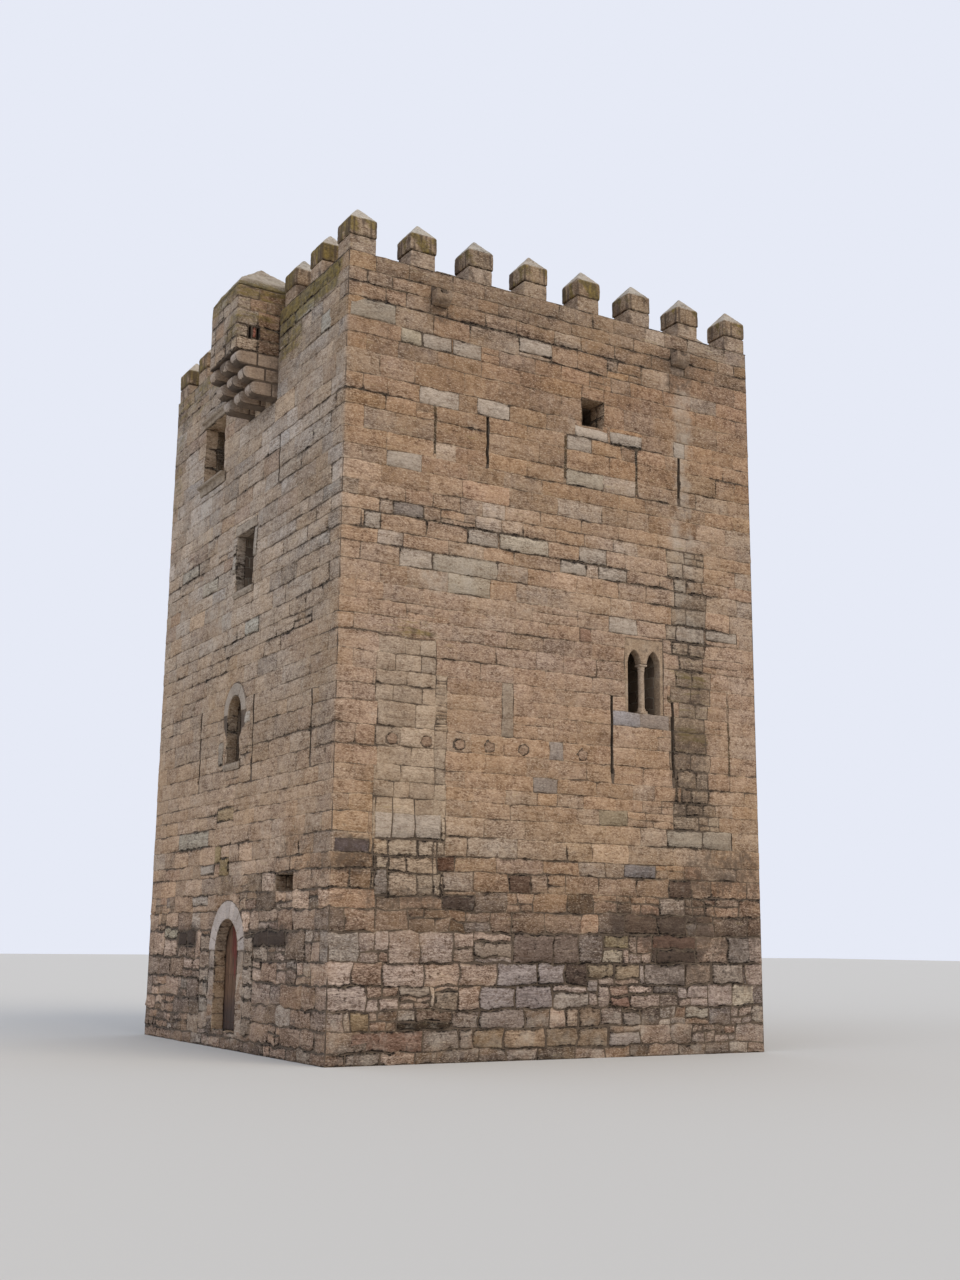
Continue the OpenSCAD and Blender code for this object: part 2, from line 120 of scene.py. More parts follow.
def drop_selection():
    if bpy.context.mode != "OBJECT":
        bpy.ops.object.mode_set(mode="OBJECT")
    bpy.ops.object.select_all(action="DESELECT")


def pick_up(obj):
    """Make this the one object that is selected and active."""
    drop_selection()
    bpy.context.view_layer.objects.active = obj
    obj.select_set(True)


def coat(obj, mat):
    """Give an object one material and no other."""
    obj.data.materials.clear()
    obj.data.materials.append(mat)


def shown(obj):
    print(obj.name, len(obj.data.polygons), "faces")


print("sRGB #808080 is", linear("#808080").round(3), "in linear light")


# %% [markdown]
# The photograph is taken from low down, off the corner between the door wall and the wall with
# the twin window. The lens and the place of the camera come from fitting the tower's edges.
# The floor is pale and plain, and the light is a soft grey sky with a weak, very broad sun.

# %% Camera, floor and light
FOCAL_LENGTH, PICTURE_WIDTH = 1467.3, 960     # both in pixels, from the fit
SENSOR_WIDTH = 36
camera_data = bpy.data.cameras.new("camera")
camera = bpy.data.objects.new("camera", camera_data)
bpy.context.scene.collection.objects.link(camera)
bpy.context.scene.camera = camera
camera_data.sensor_fit = "HORIZONTAL"
camera_data.sensor_width = SENSOR_WIDTH
camera_data.lens = SENSOR_WIDTH * FOCAL_LENGTH / PICTURE_WIDTH
yaw, pitch, roll = math.radians(59.70), math.radians(11.68), math.radians(0.62)
look = Vector((-math.sin(yaw) * math.cos(pitch), math.cos(yaw) * math.cos(pitch), math.sin(pitch)))
level = Vector((math.cos(yaw), math.sin(yaw), 0))
above = level.cross(look)
right = math.cos(roll) * level + math.sin(roll) * above
up = -math.sin(roll) * level + math.cos(roll) * above
turn = Matrix((right, up, -look)).transposed().to_4x4()
camera.matrix_world = Matrix.Translation((31.007, -17.088, 2.279)) @ turn

bpy.ops.mesh.primitive_plane_add(size=400, location=(0, 0, 0))
ground = bpy.context.object
ground.name = "studio_floor"
ground.data.materials.append(material("matt_white_floor", Base_Color="#c9c7c2", Roughness=0.9))

scene = bpy.context.scene
scene.view_settings.view_transform = "Standard"
world = scene.world or bpy.data.worlds.new("sky")
scene.world = world
world.use_nodes = True
sky = world.node_tree.nodes["Background"]
sky.inputs["Color"].default_value = for_socket("#dfe5f2")
sky.inputs["Strength"].default_value = 0.85
# the sky behind the tower is a little paler than the light that it gives
seen = add(world, "LightPath", out="Is Camera Ray")
for kind in ("Is Glossy Ray", "Is Transmission Ray"):
    seen = add(world, "Math", seen, add(world, "LightPath", out=kind), **MOST)
skies = add(world, "MixShader", seen, sky.outputs[0], add(world, "Background", "#e6eaf6"))
world.node_tree.links.new(skies, world.node_tree.nodes["World Output"].inputs["Surface"])


def sun(name, strength, spread, direction, tone):
    data = bpy.data.lights.new(name, "SUN")
    data.energy, data.angle, data.color = strength, math.radians(spread), linear(tone)
    lamp = bpy.data.objects.new(name, data)
    lamp.rotation_euler = Vector(direction).to_track_quat("-Z", "Y").to_euler()
    scene.collection.objects.link(lamp)


sun("broad_sun", 1.3, 40, (-0.75, -0.25, -0.75), "#fff1dc")
sun("sky_from_the_front", 0.75, 60, (-0.3, 0.8, -0.4), "#dfe6f4")
print("camera at", [round(v, 2) for v in camera.location])


# %% [markdown]
# ## How the stones are laid
# The walls are coursed ashlar: rows of squared sandstone blocks of slightly different heights,
# each row the same height all round the tower. The joints were measured off the masonry, in
# metres above the foot, so that the window heads and sills meet them as on the real keep.
# The stones could be a pattern in a material, but then the joints have no depth at the arrises
# and in raking light, so each one is a small mesh with a rounded edge and a worn face. They are
# laid from lists, and one side of the tower is one joined mesh.

# %% Bed joints and the rule that fills a course
JOINTS = [0.0, 0.24, 0.62, 0.99, 1.45, 1.90, 2.49, 2.90, 3.28, 3.67, 3.97, 4.37, 4.76,
          5.08, 5.35, 5.67, 6.06, 6.46, 6.94, 7.26, 7.58, 7.94, 8.33, 8.67, 8.99, 9.35, 9.76,
          10.14, 10.44, 10.80, 11.10, 11.42, 11.83, 12.17, 12.53, 12.99, 13.33, 13.71, 14.21,
          14.56, 14.90, 15.35, 15.69, 15.99, 16.35]
SLIVER = 0.03       # a gap this narrow is left to the mortar
TRIES = 6           # ways to cut a course, of which the best is kept


def free_spans(lo, hi, z0, z1, blocked):
    """Parts of one course that no opening or set stone takes: (u0, u1, z0, z1)."""
    near = [b for b in blocked if b[2] < z1 - 0.01 and b[3] > z0 + 0.01]
    cuts = sorted({lo, hi, *(min(max(b[0], lo), hi) for b in near),
                   *(min(max(b[1], lo), hi) for b in near)})
    spans = []
    for a, b in zip(cuts, cuts[1:]):
        if b - a < SLIVER:
            continue
        mid, free = (a + b) / 2, [(z0, z1)]
        for r in near:
            if r[0] < mid < r[1]:
                cut = []
                for f0, f1 in free:
                    cut += [(f0, min(f1, r[2])), (max(f0, r[3]), f1)]
                free = [(f0, f1) for f0, f1 in cut if f1 - f0 > SLIVER]
        for f0, f1 in free:
            last = spans[-1] if spans else None
            if last and abs(last[1] - a) < 1e-6 and last[2:] == [f0, f1]:
                last[1] = b
            else:
                spans.append([a, b, f0, f1])
    return spans


def split_span(span, mean, rng, avoid):
    """Cut one free span into stones whose upright joints miss those of the course below."""
    a, b, z0, z1 = span
    count = max(1, round((b - a) / mean))
    best = None
    for _ in range(TRIES):
        parts = rng.uniform(0.62, 1.5, count)
        ends = a + np.cumsum(parts) / parts.sum() * (b - a)
        gap = min((abs(e - v) for e in ends[:-1] for v in avoid), default=1)
        if best is None or gap > best[0]:
            best = (gap, ends)
    edges = [a, *best[1]]
    edges[-1] = b
    return [(edges[i], edges[i + 1], z0, z1) for i in range(count)], edges[1:-1]


def fill(lo, hi, joints, blocked, mean, rng):
    """Stones of some mean length for every course between these joints, round what is blocked."""
    stones, below = [], []
    for z0, z1 in zip(joints, joints[1:]):
        now = []
        for span in free_spans(lo, hi, z0, z1, blocked):
            length = mean * rng.uniform(0.85, 1.2) * (0.7 + 0.8 * (z1 - z0))
            cut, marks = split_span(span, length, rng, below)
            stones += cut
            now += marks
        below = now
    return stones


def broken(stones, share, rng):
    """Cut some stones in two heights, and each half at a place of its own."""
    out = []
    for a, b, z0, z1 in stones:
        if rng.random() > share or z1 - z0 < 0.26 or b - a < 0.3:
            out.append((a, b, z0, z1))
            continue
        cut = z0 + (z1 - z0) * rng.uniform(0.36, 0.64)
        for f0, f1 in ((z0, cut), (cut, z1)):
            mid = a + (b - a) * rng.uniform(0.3, 0.7)
            out += [(a, mid, f0, f1), (mid, b, f0, f1)] if b - a > 0.5 else [(a, b, f0, f1)]
    return out


print(len(JOINTS) - 1, "courses, mean height", round(SILL / (len(JOINTS) - 1), 3), "m")


# %% [markdown]
# One stone is a grid of points: an outer ring on the joint, a ring at the worn edge, and a face
# that bulges, tilts and wanders by a few millimetres. Where the grid lies is left to a `place`
# function, so the same rule lays a flat wall, a corner stone that turns the arris, the wedge
# stones of an arch and the reveals inside the windows.
# Each point also keeps its distance to the four edges of its stone. The material takes the
# smallest of them and draws the joint from it: ragged and dark where the mortar has washed out,
# hardly seen where it is full.

# %% Mesh of many stones
GAP = 0.009       # half of a mortar joint
EDGE = 0.016      # width of the worn edge of a stone
MOST_PROUD = 0.05     # no stone stands further out of the wall


def waves(x, y, seed):
    """A cheap smooth noise from -1 to 1, the same on every run."""
    r = np.random.default_rng(seed)
    total = np.zeros(np.broadcast(x, y).shape)
    for _ in range(5):
        fx, fy = r.uniform(-1, 1, 2)
        total += np.sin(x * fx + y * fy + r.uniform(0, 6.3))
    return total / 3.2


def wander(x, y, seed, longest, shortest, parts=9):
    """Smooth noise with swells from the longest to the shortest length in metres."""
    r = np.random.default_rng(seed)
    total = np.zeros(np.broadcast(x, y).shape)
    for size in np.geomspace(longest, shortest, parts):
        turn = r.uniform(0, 6.3)
        k = 6.283 / size
        total += np.sin(k * (x * math.cos(turn) + y * math.sin(turn)) + r.uniform(0, 6.3))
    return total / math.sqrt(parts) / 1.1


def lines(a, b, cell, gap, folds=()):
    """Grid lines across one stone: two at each joint, a few between, one on each fold."""
    count = max(2, round((b - a - 2 * (gap + EDGE)) / cell) + 1)
    inner = np.linspace(a + gap + EDGE, b - gap - EDGE, count)
    line = np.concatenate([[a, a + gap], inner, [b - gap, b]])
    for fold in folds:
        if a < fold < b:
            for e in (fold - 0.03, fold, fold + 0.03):
                line = np.append(line[np.abs(line - e) > 0.014], e)
            line.sort()
    return line


class Masonry:
    """Collects stones, then makes one mesh with a tone and a weather attribute."""

    def __init__(self, place, weather=None, cell=0.2):
        self.place, self.weather, self.cell = place, weather, cell
        self.points, self.quads, self.tones, self.wear, self.edges = [], [], [], [], []
        self.count = 0

    def stone(self, rect, tone, rng, proud=0.015, rough=1.0, gap=GAP, folds=(), rounds=(),
              place=None, cell=None, open_joint=1.0, sway=0.006, stained=1.0):
        """Lay one stone: its rectangle, one tone or one for each side of a fold, how far it
        stands proud, how rough and how crooked it is, discs that it has to keep out of, how
        empty its joints are and how much it takes stains."""
        a, b, z0, z1 = rect
        if b - a < 3 * gap or z1 - z0 < 3 * gap:
            return
        cell = cell or self.cell
        S, Z = np.meshgrid(lines(a, b, cell, gap, folds), lines(z0, z1, cell, gap), indexing="ij")
        seed = int(rng.integers(1 << 30))
        ring = np.zeros(S.shape, int)
        ring[1:-1, 1:-1], ring[2:-2, 2:-2] = 1, 2
        H = proud * rng.uniform(0.65, 1.15) + waves(S * 7, Z * 9, seed) * 0.004 * rough
        H += (S - (a + b) / 2) * rng.normal(0, 0.008) * rough
        H += (Z - (z0 + z1) / 2) * rng.normal(0, 0.018) * rough
        H = np.where(ring == 1, H * (0.45 + 0.25 * waves(S * 11, Z * 11, seed + 3)), H)
        blunt = np.minimum(S - a, b - S) / 0.05 + np.minimum(Z - z0, z1 - Z) / 0.05
        H -= np.clip(1.5 - blunt, 0, 1) * 0.008 * rough
        wear = np.zeros(S.shape + (4,))
        if self.weather is not None:
            wear[...] = self.weather(S, Z)
        # where the joint is full of mortar the edges stay high and the stones meet
        opened = np.clip(open_joint + wear[..., 3] + 0.5 * wander(S, Z, 77, 3.2, 0.4, 7), 0, 1.4)
        shut = np.clip(1 - opened, 0, 1)
        H = np.clip(H, 0.002, MOST_PROUD) + (ring == 1) * shut * 0.005
        H = np.where(ring == 0, 0.010 * shut - 0.014 * (1 - shut), H)
        edge = np.stack([S - a, b - S, Z - z0, z1 - Z], -1)
        weight = 1.0
        for fold in folds:
            weight = weight * np.clip(np.abs(S - fold) / 0.4, 0, 1)
        dS = wander(S, Z, 11, 1.6, 0.22) * sway * 2 * weight
        dZ = wander(S, Z, 12, 2.4, 0.22) * sway * 2
        tones = np.broadcast_to(tone[0], S.shape + (3,))
        if len(tone) > 1:
            share = np.clip((S - folds[0]) / 0.12 + 0.5, 0, 1)[..., None]
            tones = tone[0] * (1 - share) + tone[1] * share
        S, Z = S + dS, Z + dZ
        for cu, cz, radius in rounds:
            far = np.hypot(S - cu, Z - cz)
            inside = far < radius
            if inside.all():
                return
            push = np.where(inside, radius / np.maximum(far, 1e-6), 1)
            S, Z = cu + (S - cu) * push, cz + (Z - cz) * push
            H = np.where(inside, -0.012, H)
        pts = (place or self.place)(S, Z, H)
        pts[..., 2] = np.maximum(pts[..., 2], 0)
        rows, cols = S.shape
        at = self.count + np.arange(rows * cols).reshape(rows, cols)
        self.quads.append(np.stack([at[:-1, :-1], at[1:, :-1], at[1:, 1:], at[:-1, 1:]],
                                   -1).reshape(-1, 4))
        self.points.append(pts.reshape(-1, 3))
        tones = np.concatenate([tones, np.full(S.shape + (1,), stained)], -1)
        self.tones.append(tones.reshape(-1, 4))
        wear[..., 3] = opened
        self.wear.append(wear.reshape(-1, 4))
        self.edges.append(edge.reshape(-1, 4))
        self.count += rows * cols

    def make(self, name, mat, slot="ashlar"):
        mesh = bpy.data.meshes.new(name)
        mesh.from_pydata(np.concatenate(self.points).tolist(), [],
                         np.concatenate(self.quads).tolist())
        for key, data in (("tone", self.tones), ("weather", self.wear), ("edge", self.edges)):
            layer = mesh.color_attributes.new(key, "FLOAT_COLOR", "POINT")
            layer.data.foreach_set("color", np.concatenate(data).astype(np.float32).ravel())
        mesh.shade_smooth()
        obj = bpy.data.objects.new(name, mesh)
        scene.collection.objects.link(obj)
        coat(obj, mat)
        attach(obj, "tower")
        shown(obj)


print("grid lines along a stone of 0.8 m:", len(lines(0, 0.8, 0.2, GAP)))


# %% [markdown]
# A wall is unrolled like a paper strip: `along` runs round the tower, z runs up. `strip` folds
# it back. It takes the corners of a path seen from above and returns the rule that places a
# stone: a distance along the path, a height and how far the stone stands proud. A stone that
# lies across a corner is folded over it, and its arris is worn back a little, as real quoins are.

# %% Fold a strip of stones round a path
WORN = 0.016        # how far the arris of a corner is worn back


def strip(path, closed=False):
    pts = np.array(path, float)
    if closed:
        pts = np.vstack([pts, pts[:1]])
    edge = np.diff(pts, axis=0)
    length = np.hypot(edge[:, 0], edge[:, 1])
    start = np.concatenate([[0], np.cumsum(length)])
    edge /= length[:, None]
    normal = np.stack([edge[:, 1], -edge[:, 0]], -1)

    def place(S, Z, H):
        S, Z, H = np.broadcast_arrays(S, Z, H)
        s = S % start[-1] if closed else S
        k = np.clip(np.searchsorted(start, s + 1e-7) - 1, 0, len(length) - 1)
        t = s - start[k]
        spot = pts[k] + edge[k] * t[..., None]
        off = normal[k] * H[..., None]
        before = np.where(k > 0, k - 1, len(length) - 1 if closed else 0)
        fold = (np.abs(t) < 1e-5) & (closed | (k > 0))
        corner = (normal[k] + normal[before]) * (H - WORN)[..., None]
        off = np.where(fold[..., None], corner, off)
        return np.concatenate([spot + off, Z[..., None]], -1)
    return place


def sides(side, u):
    """Distance along the tower's strip of a place u on one side."""
    return side * WIDE + u + HALF


tower = strip([(-HALF, -HALF), (HALF, -HALF), (HALF, HALF), (-HALF, HALF)], closed=True)
third = tower(*(np.array([value]) for value in (2 * WIDE, 1.0, 0.02)))[0]
print("the strip is", round(4 * WIDE, 1), "m long, its third corner is at",
      [round(float(v), 3) for v in third])


# %% [markdown]
# Openings and odd stones come first, and the courses are filled in round them. Every window,
# slit and corbel is a rectangle that no stone may enter. The pale replaced blocks, the filled
# putlog slots, the patch of small stones and the strip of greenish ones are the marks by which
# this tower is known, so they are set one by one. u runs to the right as seen from outside.

# %% Openings of the four sides
FRONT, RIGHT, BACK, LEFT = range(4)
STEP_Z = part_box("door_threshold")[1][2]
DOOR_X = sum(c[0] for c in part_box("door_arch")) / 2
DOOR_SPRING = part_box("door_arch")[0][2]
DOOR_BAND = 0.39
DOOR_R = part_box("door_arch")[1][0] - DOOR_X - DOOR_BAND
LANCET_BAND = 0.28
LANCET_X, LANCET_SPRING, LANCET_R = -0.11, 7.32, 0.40
LANCET_Z = 6.19
# left, right, foot and head of the square openings
MOULDED, MIDDLE = (-2.95, -1.57, 13.41, 14.93), (-0.38, 0.64, 10.17, 11.51)
SMALL, SQUARE = (2.68, 3.56, 3.26, 3.62), (0.50, 1.09, 13.62, 14.26)
TWIN = (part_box("twin_window_head")[0][1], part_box("twin_window_head")[1][1],
        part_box("twin_window_head")[0][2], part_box("twin_window_head")[1][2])
SLIT_FOOT, SLIT_HEAD, HIGH_FOOT, HIGH_HEAD = 5.88, 7.62, 12.27, 13.35
SPOUTS, SPOUT_HALF = (-3.17, 3.22), 0.19
CORBELS, CORBEL_HALF = (0.20, 0.86, 1.52), 0.16
SLIT_HALF = 0.035


def slit(u, z0, z1):
    """A slit keeps whole courses free, so that no sliver of stone is left under or over it."""
    foot = max(joint for joint in JOINTS if joint < z0 + SLIVER)
    head = min(JOINTS, key=lambda joint: abs(joint - z1))
    return (u - SLIT_HALF, u + SLIT_HALF, foot, head)


def hole(window, lap=0.01):
    """Rectangle of an opening; the stones reach a little over its arris."""
    return (window[0] + lap, window[1] - lap, window[2] + lap, window[3] - lap)


def trim(node_name):
    """Rectangle on the door side that a moulded stone of the frame takes."""
    lo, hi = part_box(node_name)
    return (lo[0], hi[0], lo[2], hi[2])


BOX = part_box("machicolation_front")
SILL_HIGH = 0.17        # height of a window sill
WAY_IN = (BOX[0][0] + 0.25, BOX[1][0] - 0.25)      # between the cheeks of the box
LINTEL_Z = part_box("window_trim")[1][2]
CORBEL_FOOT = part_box("machicolation_corbels")[0][2]
HOLES = {
    FRONT: [hole((DOOR_X - DOOR_R, DOOR_X + DOOR_R, STEP_Z, DOOR_SPRING)),
            hole((LANCET_X - LANCET_R, LANCET_X + LANCET_R, LANCET_Z, LANCET_SPRING)),
            hole(MIDDLE), hole(MOULDED), hole(SMALL),
            slit(4.18, SLIT_FOOT, 7.12), slit(1.96, 12.40, 13.41), slit(1.05, 5.93, 7.67),
            slit(-2.25, SLIT_FOOT, SLIT_HEAD),
            (LANCET_X - LANCET_R - 0.08, LANCET_X + LANCET_R + 0.08, LANCET_Z - SILL_HIGH,
             LANCET_Z),
            (MIDDLE[0] - 0.08, MIDDLE[1] + 0.08, MIDDLE[2] - SILL_HIGH, MIDDLE[2]),
            (MIDDLE[0] - 0.15, MIDDLE[1] + 0.15, MIDDLE[3], LINTEL_Z),
            trim("moulded_window_head"), trim("moulded_window_sill"),
            (BOX[0][0], WAY_IN[0], BOX[0][2], SILL), (WAY_IN[1], BOX[1][0], BOX[0][2], SILL),
            (WAY_IN[0], WAY_IN[1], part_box("terrace")[1][2], SILL)]
    + [(x - CORBEL_HALF, x + CORBEL_HALF, CORBEL_FOOT, BOX[0][2]) for x in CORBELS],
    RIGHT: [TWIN, hole(SQUARE), slit(-1.93, HIGH_FOOT, HIGH_HEAD), slit(3.20, 12.35, HIGH_HEAD),
            slit(1.26, SLIT_FOOT, SLIT_HEAD), slit(2.91, 5.90, 7.64)]
    + [(u - SPOUT_HALF, u + SPOUT_HALF, SILL - 0.79, SILL - 0.39) for u in SPOUTS],
    BACK: [hole(SQUARE), hole(MIDDLE)],
    LEFT: [hole(SQUARE)],
}
for side in (BACK, LEFT):
    HOLES[side] += [slit(-1.93, HIGH_FOOT, HIGH_HEAD), slit(3.20, HIGH_FOOT, HIGH_HEAD),
                    slit(-2.33, SLIT_FOOT, SLIT_HEAD), slit(2.91, SLIT_FOOT, SLIT_HEAD)]
print({name: len(HOLES[k]) for name, k in (("front", 0), ("right", 1), ("back", 2), ("left", 3))},
      "rectangles kept free")

# %% Set stones: left, right, foot, head and colour
PALE, GREY, SLATE, DARK, CRACK = "#a89a8b", "#8e8278", "#7a7370", "#57473c", "#2b231c"
MAUVE, DUN, RUSSET = "#8b807b", "#8a7868", "#80604f"
RIGHT_SET = [
    (-3.59, -2.66, 13.35, 13.74, PALE), (-2.19, -1.39, 13.33, 13.69, PALE),
    (0.11, 0.77, 12.99, 13.30, PALE), (0.32, 1.20, 13.35, 13.58, PALE),
    (1.26, 2.14, 13.37, 13.62, PALE), (3.06, 3.38, 13.35, 13.74, PALE),
    (-1.16, -0.30, 14.99, 15.33, PALE), (-5.25, -4.20, 14.90, 15.28, "#9c9080"),
    (-4.07, -3.57, 14.56, 14.87, "#a0937f"), (-3.55, -2.85, 14.56, 14.87, PALE),
    (-2.82, -2.12, 14.56, 14.87, PALE), (0.20, 1.40, 14.26, 14.58, "#9b8c7a"),
    (0.08, 1.06, 12.21, 12.49, "#a39684"), (-4.32, -3.53, 11.87, 12.14, PALE),
    (-4.16, -3.44, 10.85, 11.12, GREY), (-4.80, -4.42, 10.45, 10.75, PALE),
    (-2.41, -1.66, 10.45, 10.75, PALE), (-1.62, -0.39, 10.45, 10.75, "#a79a88"),
    (0.41, 1.14, 10.45, 10.75, PALE), (-0.07, 0.60, 10.15, 10.42, PALE),
    (0.93, 1.70, 10.15, 10.42, PALE), (-3.21, -1.66, 9.75, 10.12, "#a59887"),
    (-3.98, -3.23, 9.71, 10.08, PALE), (-2.85, -1.85, 9.40, 9.73, "#a39582"),
    (-1.53, -1.25, 6.53, 7.53, "#8f7f6e"), (-0.36, 0.00, 6.10, 6.51, GREY),
    (-0.75, -0.16, 5.41, 5.69, GREY), (0.90, 1.65, 4.76, 5.08, "#8f8069"),
    (1.56, 2.38, 3.71, 3.97, SLATE), (1.30, 2.02, 6.97, 7.24, "#98918f"),
    (1.20, 1.95, 9.05, 9.35, PALE), (3.05, 3.85, 9.05, 9.40, PALE), (3.90, 4.80, 9.10, 9.40, PALE),
    (0.42, 0.72, 8.70, 8.95, "#90725f"), (-4.37, -4.02, 4.28, 4.70, PALE),
    (-4.00, -3.52, 4.28, 4.70, PALE), (-3.50, -2.92, 4.28, 4.70, PALE),
    (2.70, 3.68, 4.37, 4.76, "#9d907f"), (3.70, 4.50, 4.37, 4.76, "#9b8e7d"),
    (-1.35, -0.80, 3.28, 3.60, "#5f4a3c"), (2.72, 3.36, 3.28, 3.60, "#59473b"),
    (-3.00, -2.60, 3.67, 3.90, "#6a4d3c"), (-5.25, -4.50, 3.97, 4.25, "#5d5354"),
    (-2.90, -2.12, 2.95, 3.20, "#4a3d36"), (-4.37, -4.08, 3.16, 3.62, "#8f8378"),
    (2.38, 3.43, 1.95, 2.17, DARK), (0.97, 1.50, 1.95, 2.21, "#9a8d7b"),
    (1.00, 1.65, 2.23, 2.48, "#8c7d64"), (2.25, 3.45, 2.19, 2.49, RUSSET),
    (4.30, 4.96, 1.95, 2.49, "#8d8177"), (-2.15, -1.22, 2.00, 2.30, "#857668"),
    (-1.20, -0.27, 1.95, 2.49, "#6f5f55"), (-0.26, 0.40, 1.95, 2.49, "#75655a"),
    (-1.60, -0.66, 1.47, 1.90, MAUVE), (-0.65, 0.00, 1.47, 1.90, MAUVE),
    (0.02, 0.58, 1.47, 1.90, "#4c3f38"), (0.60, 1.25, 1.62, 1.88, "#8b7b66"),
    (1.27, 1.92, 1.58, 1.88, "#917f69"), (2.05, 3.10, 1.50, 1.90, "#8c7f75"),
    (3.12, 3.85, 1.50, 1.90, DUN), (3.90, 4.75, 1.50, 1.90, "#938578"),
    (-3.80, -3.10, 1.25, 1.49, "#8f8173"), (-3.00, -2.46, 1.00, 1.36, "#857565"),
    (-2.00, -1.20, 1.02, 1.40, MAUVE), (-1.18, -0.30, 1.02, 1.42, "#857a76"),
    (-0.27, 0.60, 1.00, 1.30, "#978b80"), (0.55, 0.86, 1.30, 1.60, "#887c74"),
    (4.42, 5.05, 1.05, 1.42, "#a89a87"), (3.12, 3.77, 0.75, 1.00, "#a19585"),
    (1.12, 1.64, 0.92, 1.22, "#84685a"), (0.05, 0.35, 0.64, 0.92, "#988573"),
    (0.38, 0.92, 0.62, 0.96, "#806d5b"), (1.44, 1.95, 0.62, 0.90, "#7d7066"),
    (-4.80, -4.40, 0.68, 0.96, "#7d6a52"), (-2.00, -0.95, 0.68, 0.96, "#84776e"),
    (-3.80, -2.62, 0.64, 0.76, "#33291f"), (-4.80, -3.25, 0.30, 0.60, "#7a6153"),
    (-2.10, -1.42, 0.24, 0.62, "#7f6a53"), (-1.40, -0.45, 0.24, 0.62, "#927c66"),
    (-0.42, 0.33, 0.24, 0.60, "#7d6a56"), (0.36, 1.10, 0.24, 0.60, "#85715c"),
    (1.15, 1.92, 0.22, 0.50, "#958980"), (-3.24, -3.18, 12.27, 13.33, CRACK),
    (0.03, 0.09, 12.30, 13.28, CRACK), (1.96, 2.02, 12.25, 13.30, CRACK),
    (4.47, 4.51, 6.06, 7.66, CRACK), (2.955, 3.00, 5.35, 5.90, CRACK),
    (2.78, 2.87, 7.56, 7.70, CRACK), (2.02, 2.80, 6.97, 7.24, "#8c7f75")]
FRONT_SET = [
    (-3.35, -1.43, 4.42, 4.79, "#a59987"), (-1.85, -0.94, 3.75, 4.00, PALE),
    (-2.25, -1.25, 3.05, 3.30, PALE), (-4.10, -3.20, 2.32, 2.58, "#a0947f"),
    (-0.62, -0.03, 3.67, 4.08, "#9a8460"), (-0.36, -0.20, 3.82, 3.98, CRACK),
    (-0.90, 0.10, 4.90, 5.20, "#a38b6b"), (2.55, 3.60, 15.69, 15.99, "#b3aa9c"),
    (4.02, 4.62, 14.90, 15.35, "#aaa294"), (0.35, 1.15, 8.99, 9.35, "#ada596"),
    (-2.60, -1.55, 10.44, 10.80, "#a89d8c"), (-4.20, -2.95, 11.10, 11.42, "#a59a8a"),
    (-0.64, -0.38, 10.17, 10.62, PALE), (-0.61, -0.38, 10.62, 11.10, "#a69c8e"),
    (-0.64, -0.38, 11.10, 11.51, PALE), (0.64, 0.80, 10.17, 10.80, "#9f9384"),
    (0.64, 0.86, 10.80, 11.51, "#a2978a"), (0.35, 0.85, 7.02, 7.26, "#a99f92"),
    (-3.12, -2.50, 2.17, 2.49, "#43362d"), (-2.48, -1.95, 2.17, 2.49, "#4d3f35"),
    (1.66, 2.35, 2.19, 2.49, "#483b32"), (2.37, 3.25, 2.17, 2.49, "#3f332b"),
    (-1.00, -0.70, 6.19, 6.72, "#998d7e"), (-0.95, -0.55, 3.97, 4.37, "#a08b66")]
BACK_SET = [(-u1, -u0, z0, z1, c) for u0, u1, z0, z1, c in RIGHT_SET if z0 > 8 or 0.6 < z0 < 2.4]
LEFT_SET = [(u0 * 0.9 - 0.3, u1 * 0.9 - 0.3, z0, z1, c) for u0, u1, z0, z1, c in RIGHT_SET
            if (z0 > 9.5 and c != CRACK) or 1 < z0 < 5]


def overlap(a, b):
    return a[0] < b[1] - 0.02 and a[1] > b[0] + 0.02 and a[2] < b[3] - 0.02 and a[3] > b[2] + 0.02


def on_joints(row):
    """A set stone whose edges lie near a bed joint is moved onto it."""
    reach, snapped = 0.075, []
    for z in row[2:4]:
        near = min(JOINTS, key=lambda joint: abs(joint - z))
        snapped.append(near if abs(near - z) < reach else z)
    return (row[0], row[1], *snapped, row[4])


SET = {}
for side, rows in ((FRONT, FRONT_SET), (RIGHT, RIGHT_SET), (BACK, BACK_SET), (LEFT, LEFT_SET)):
    SET[side] = [row if row[4] == CRACK else on_joints(row) for row in rows]
    SET[side] = [row for row in SET[side] if not any(overlap(row, h) for h in HOLES[side])]
# patches with courses of their own: (u0, u1, joints, mean length)
PATCHES = {RIGHT: [
    (-4.44, -3.09, [3.15, 3.62, 3.94, 4.26, 4.71, 5.06, 5.38, 5.70, 6.08, 6.47, 6.96, 7.30,
                    7.59, 7.94, 8.28], 0.5),
    (-3.09, -2.83, [3.15, 3.62, 3.94, 4.26, 4.71, 5.06, 5.38, 5.70, 6.08, 6.45], 0.3),
    (-3.09, -2.83, list(6.45 + np.cumsum([0, 0.09, 0.06, 0.11, 0.07, 0.08, 0.12, 0.06, 0.09,
                                          0.07, 0.13, 0.08, 0.06, 0.12])), 0.3),
    ], FRONT: [
    (-1.58, -1.00, [0.36, 0.72, 1.04, 1.38, 1.70, 2.07, 2.40], 0.55),
    (1.04, 1.60, [0.36, 0.70, 1.06, 1.36, 1.72, 2.07, 2.40], 0.55)], BACK: [], LEFT: []}
wild = np.random.default_rng(8)
for z0, z1 in zip(JOINTS, JOINTS[1:]):
    if 4.7 < z0 < 11:      # the rotten strip has no straight sides
        ends = 2.98 + wild.uniform(-0.22, 0.18), 3.92 + wild.uniform(-0.2, 0.25)
        PATCHES[RIGHT].append((*ends, [z0, z1], 0.55))
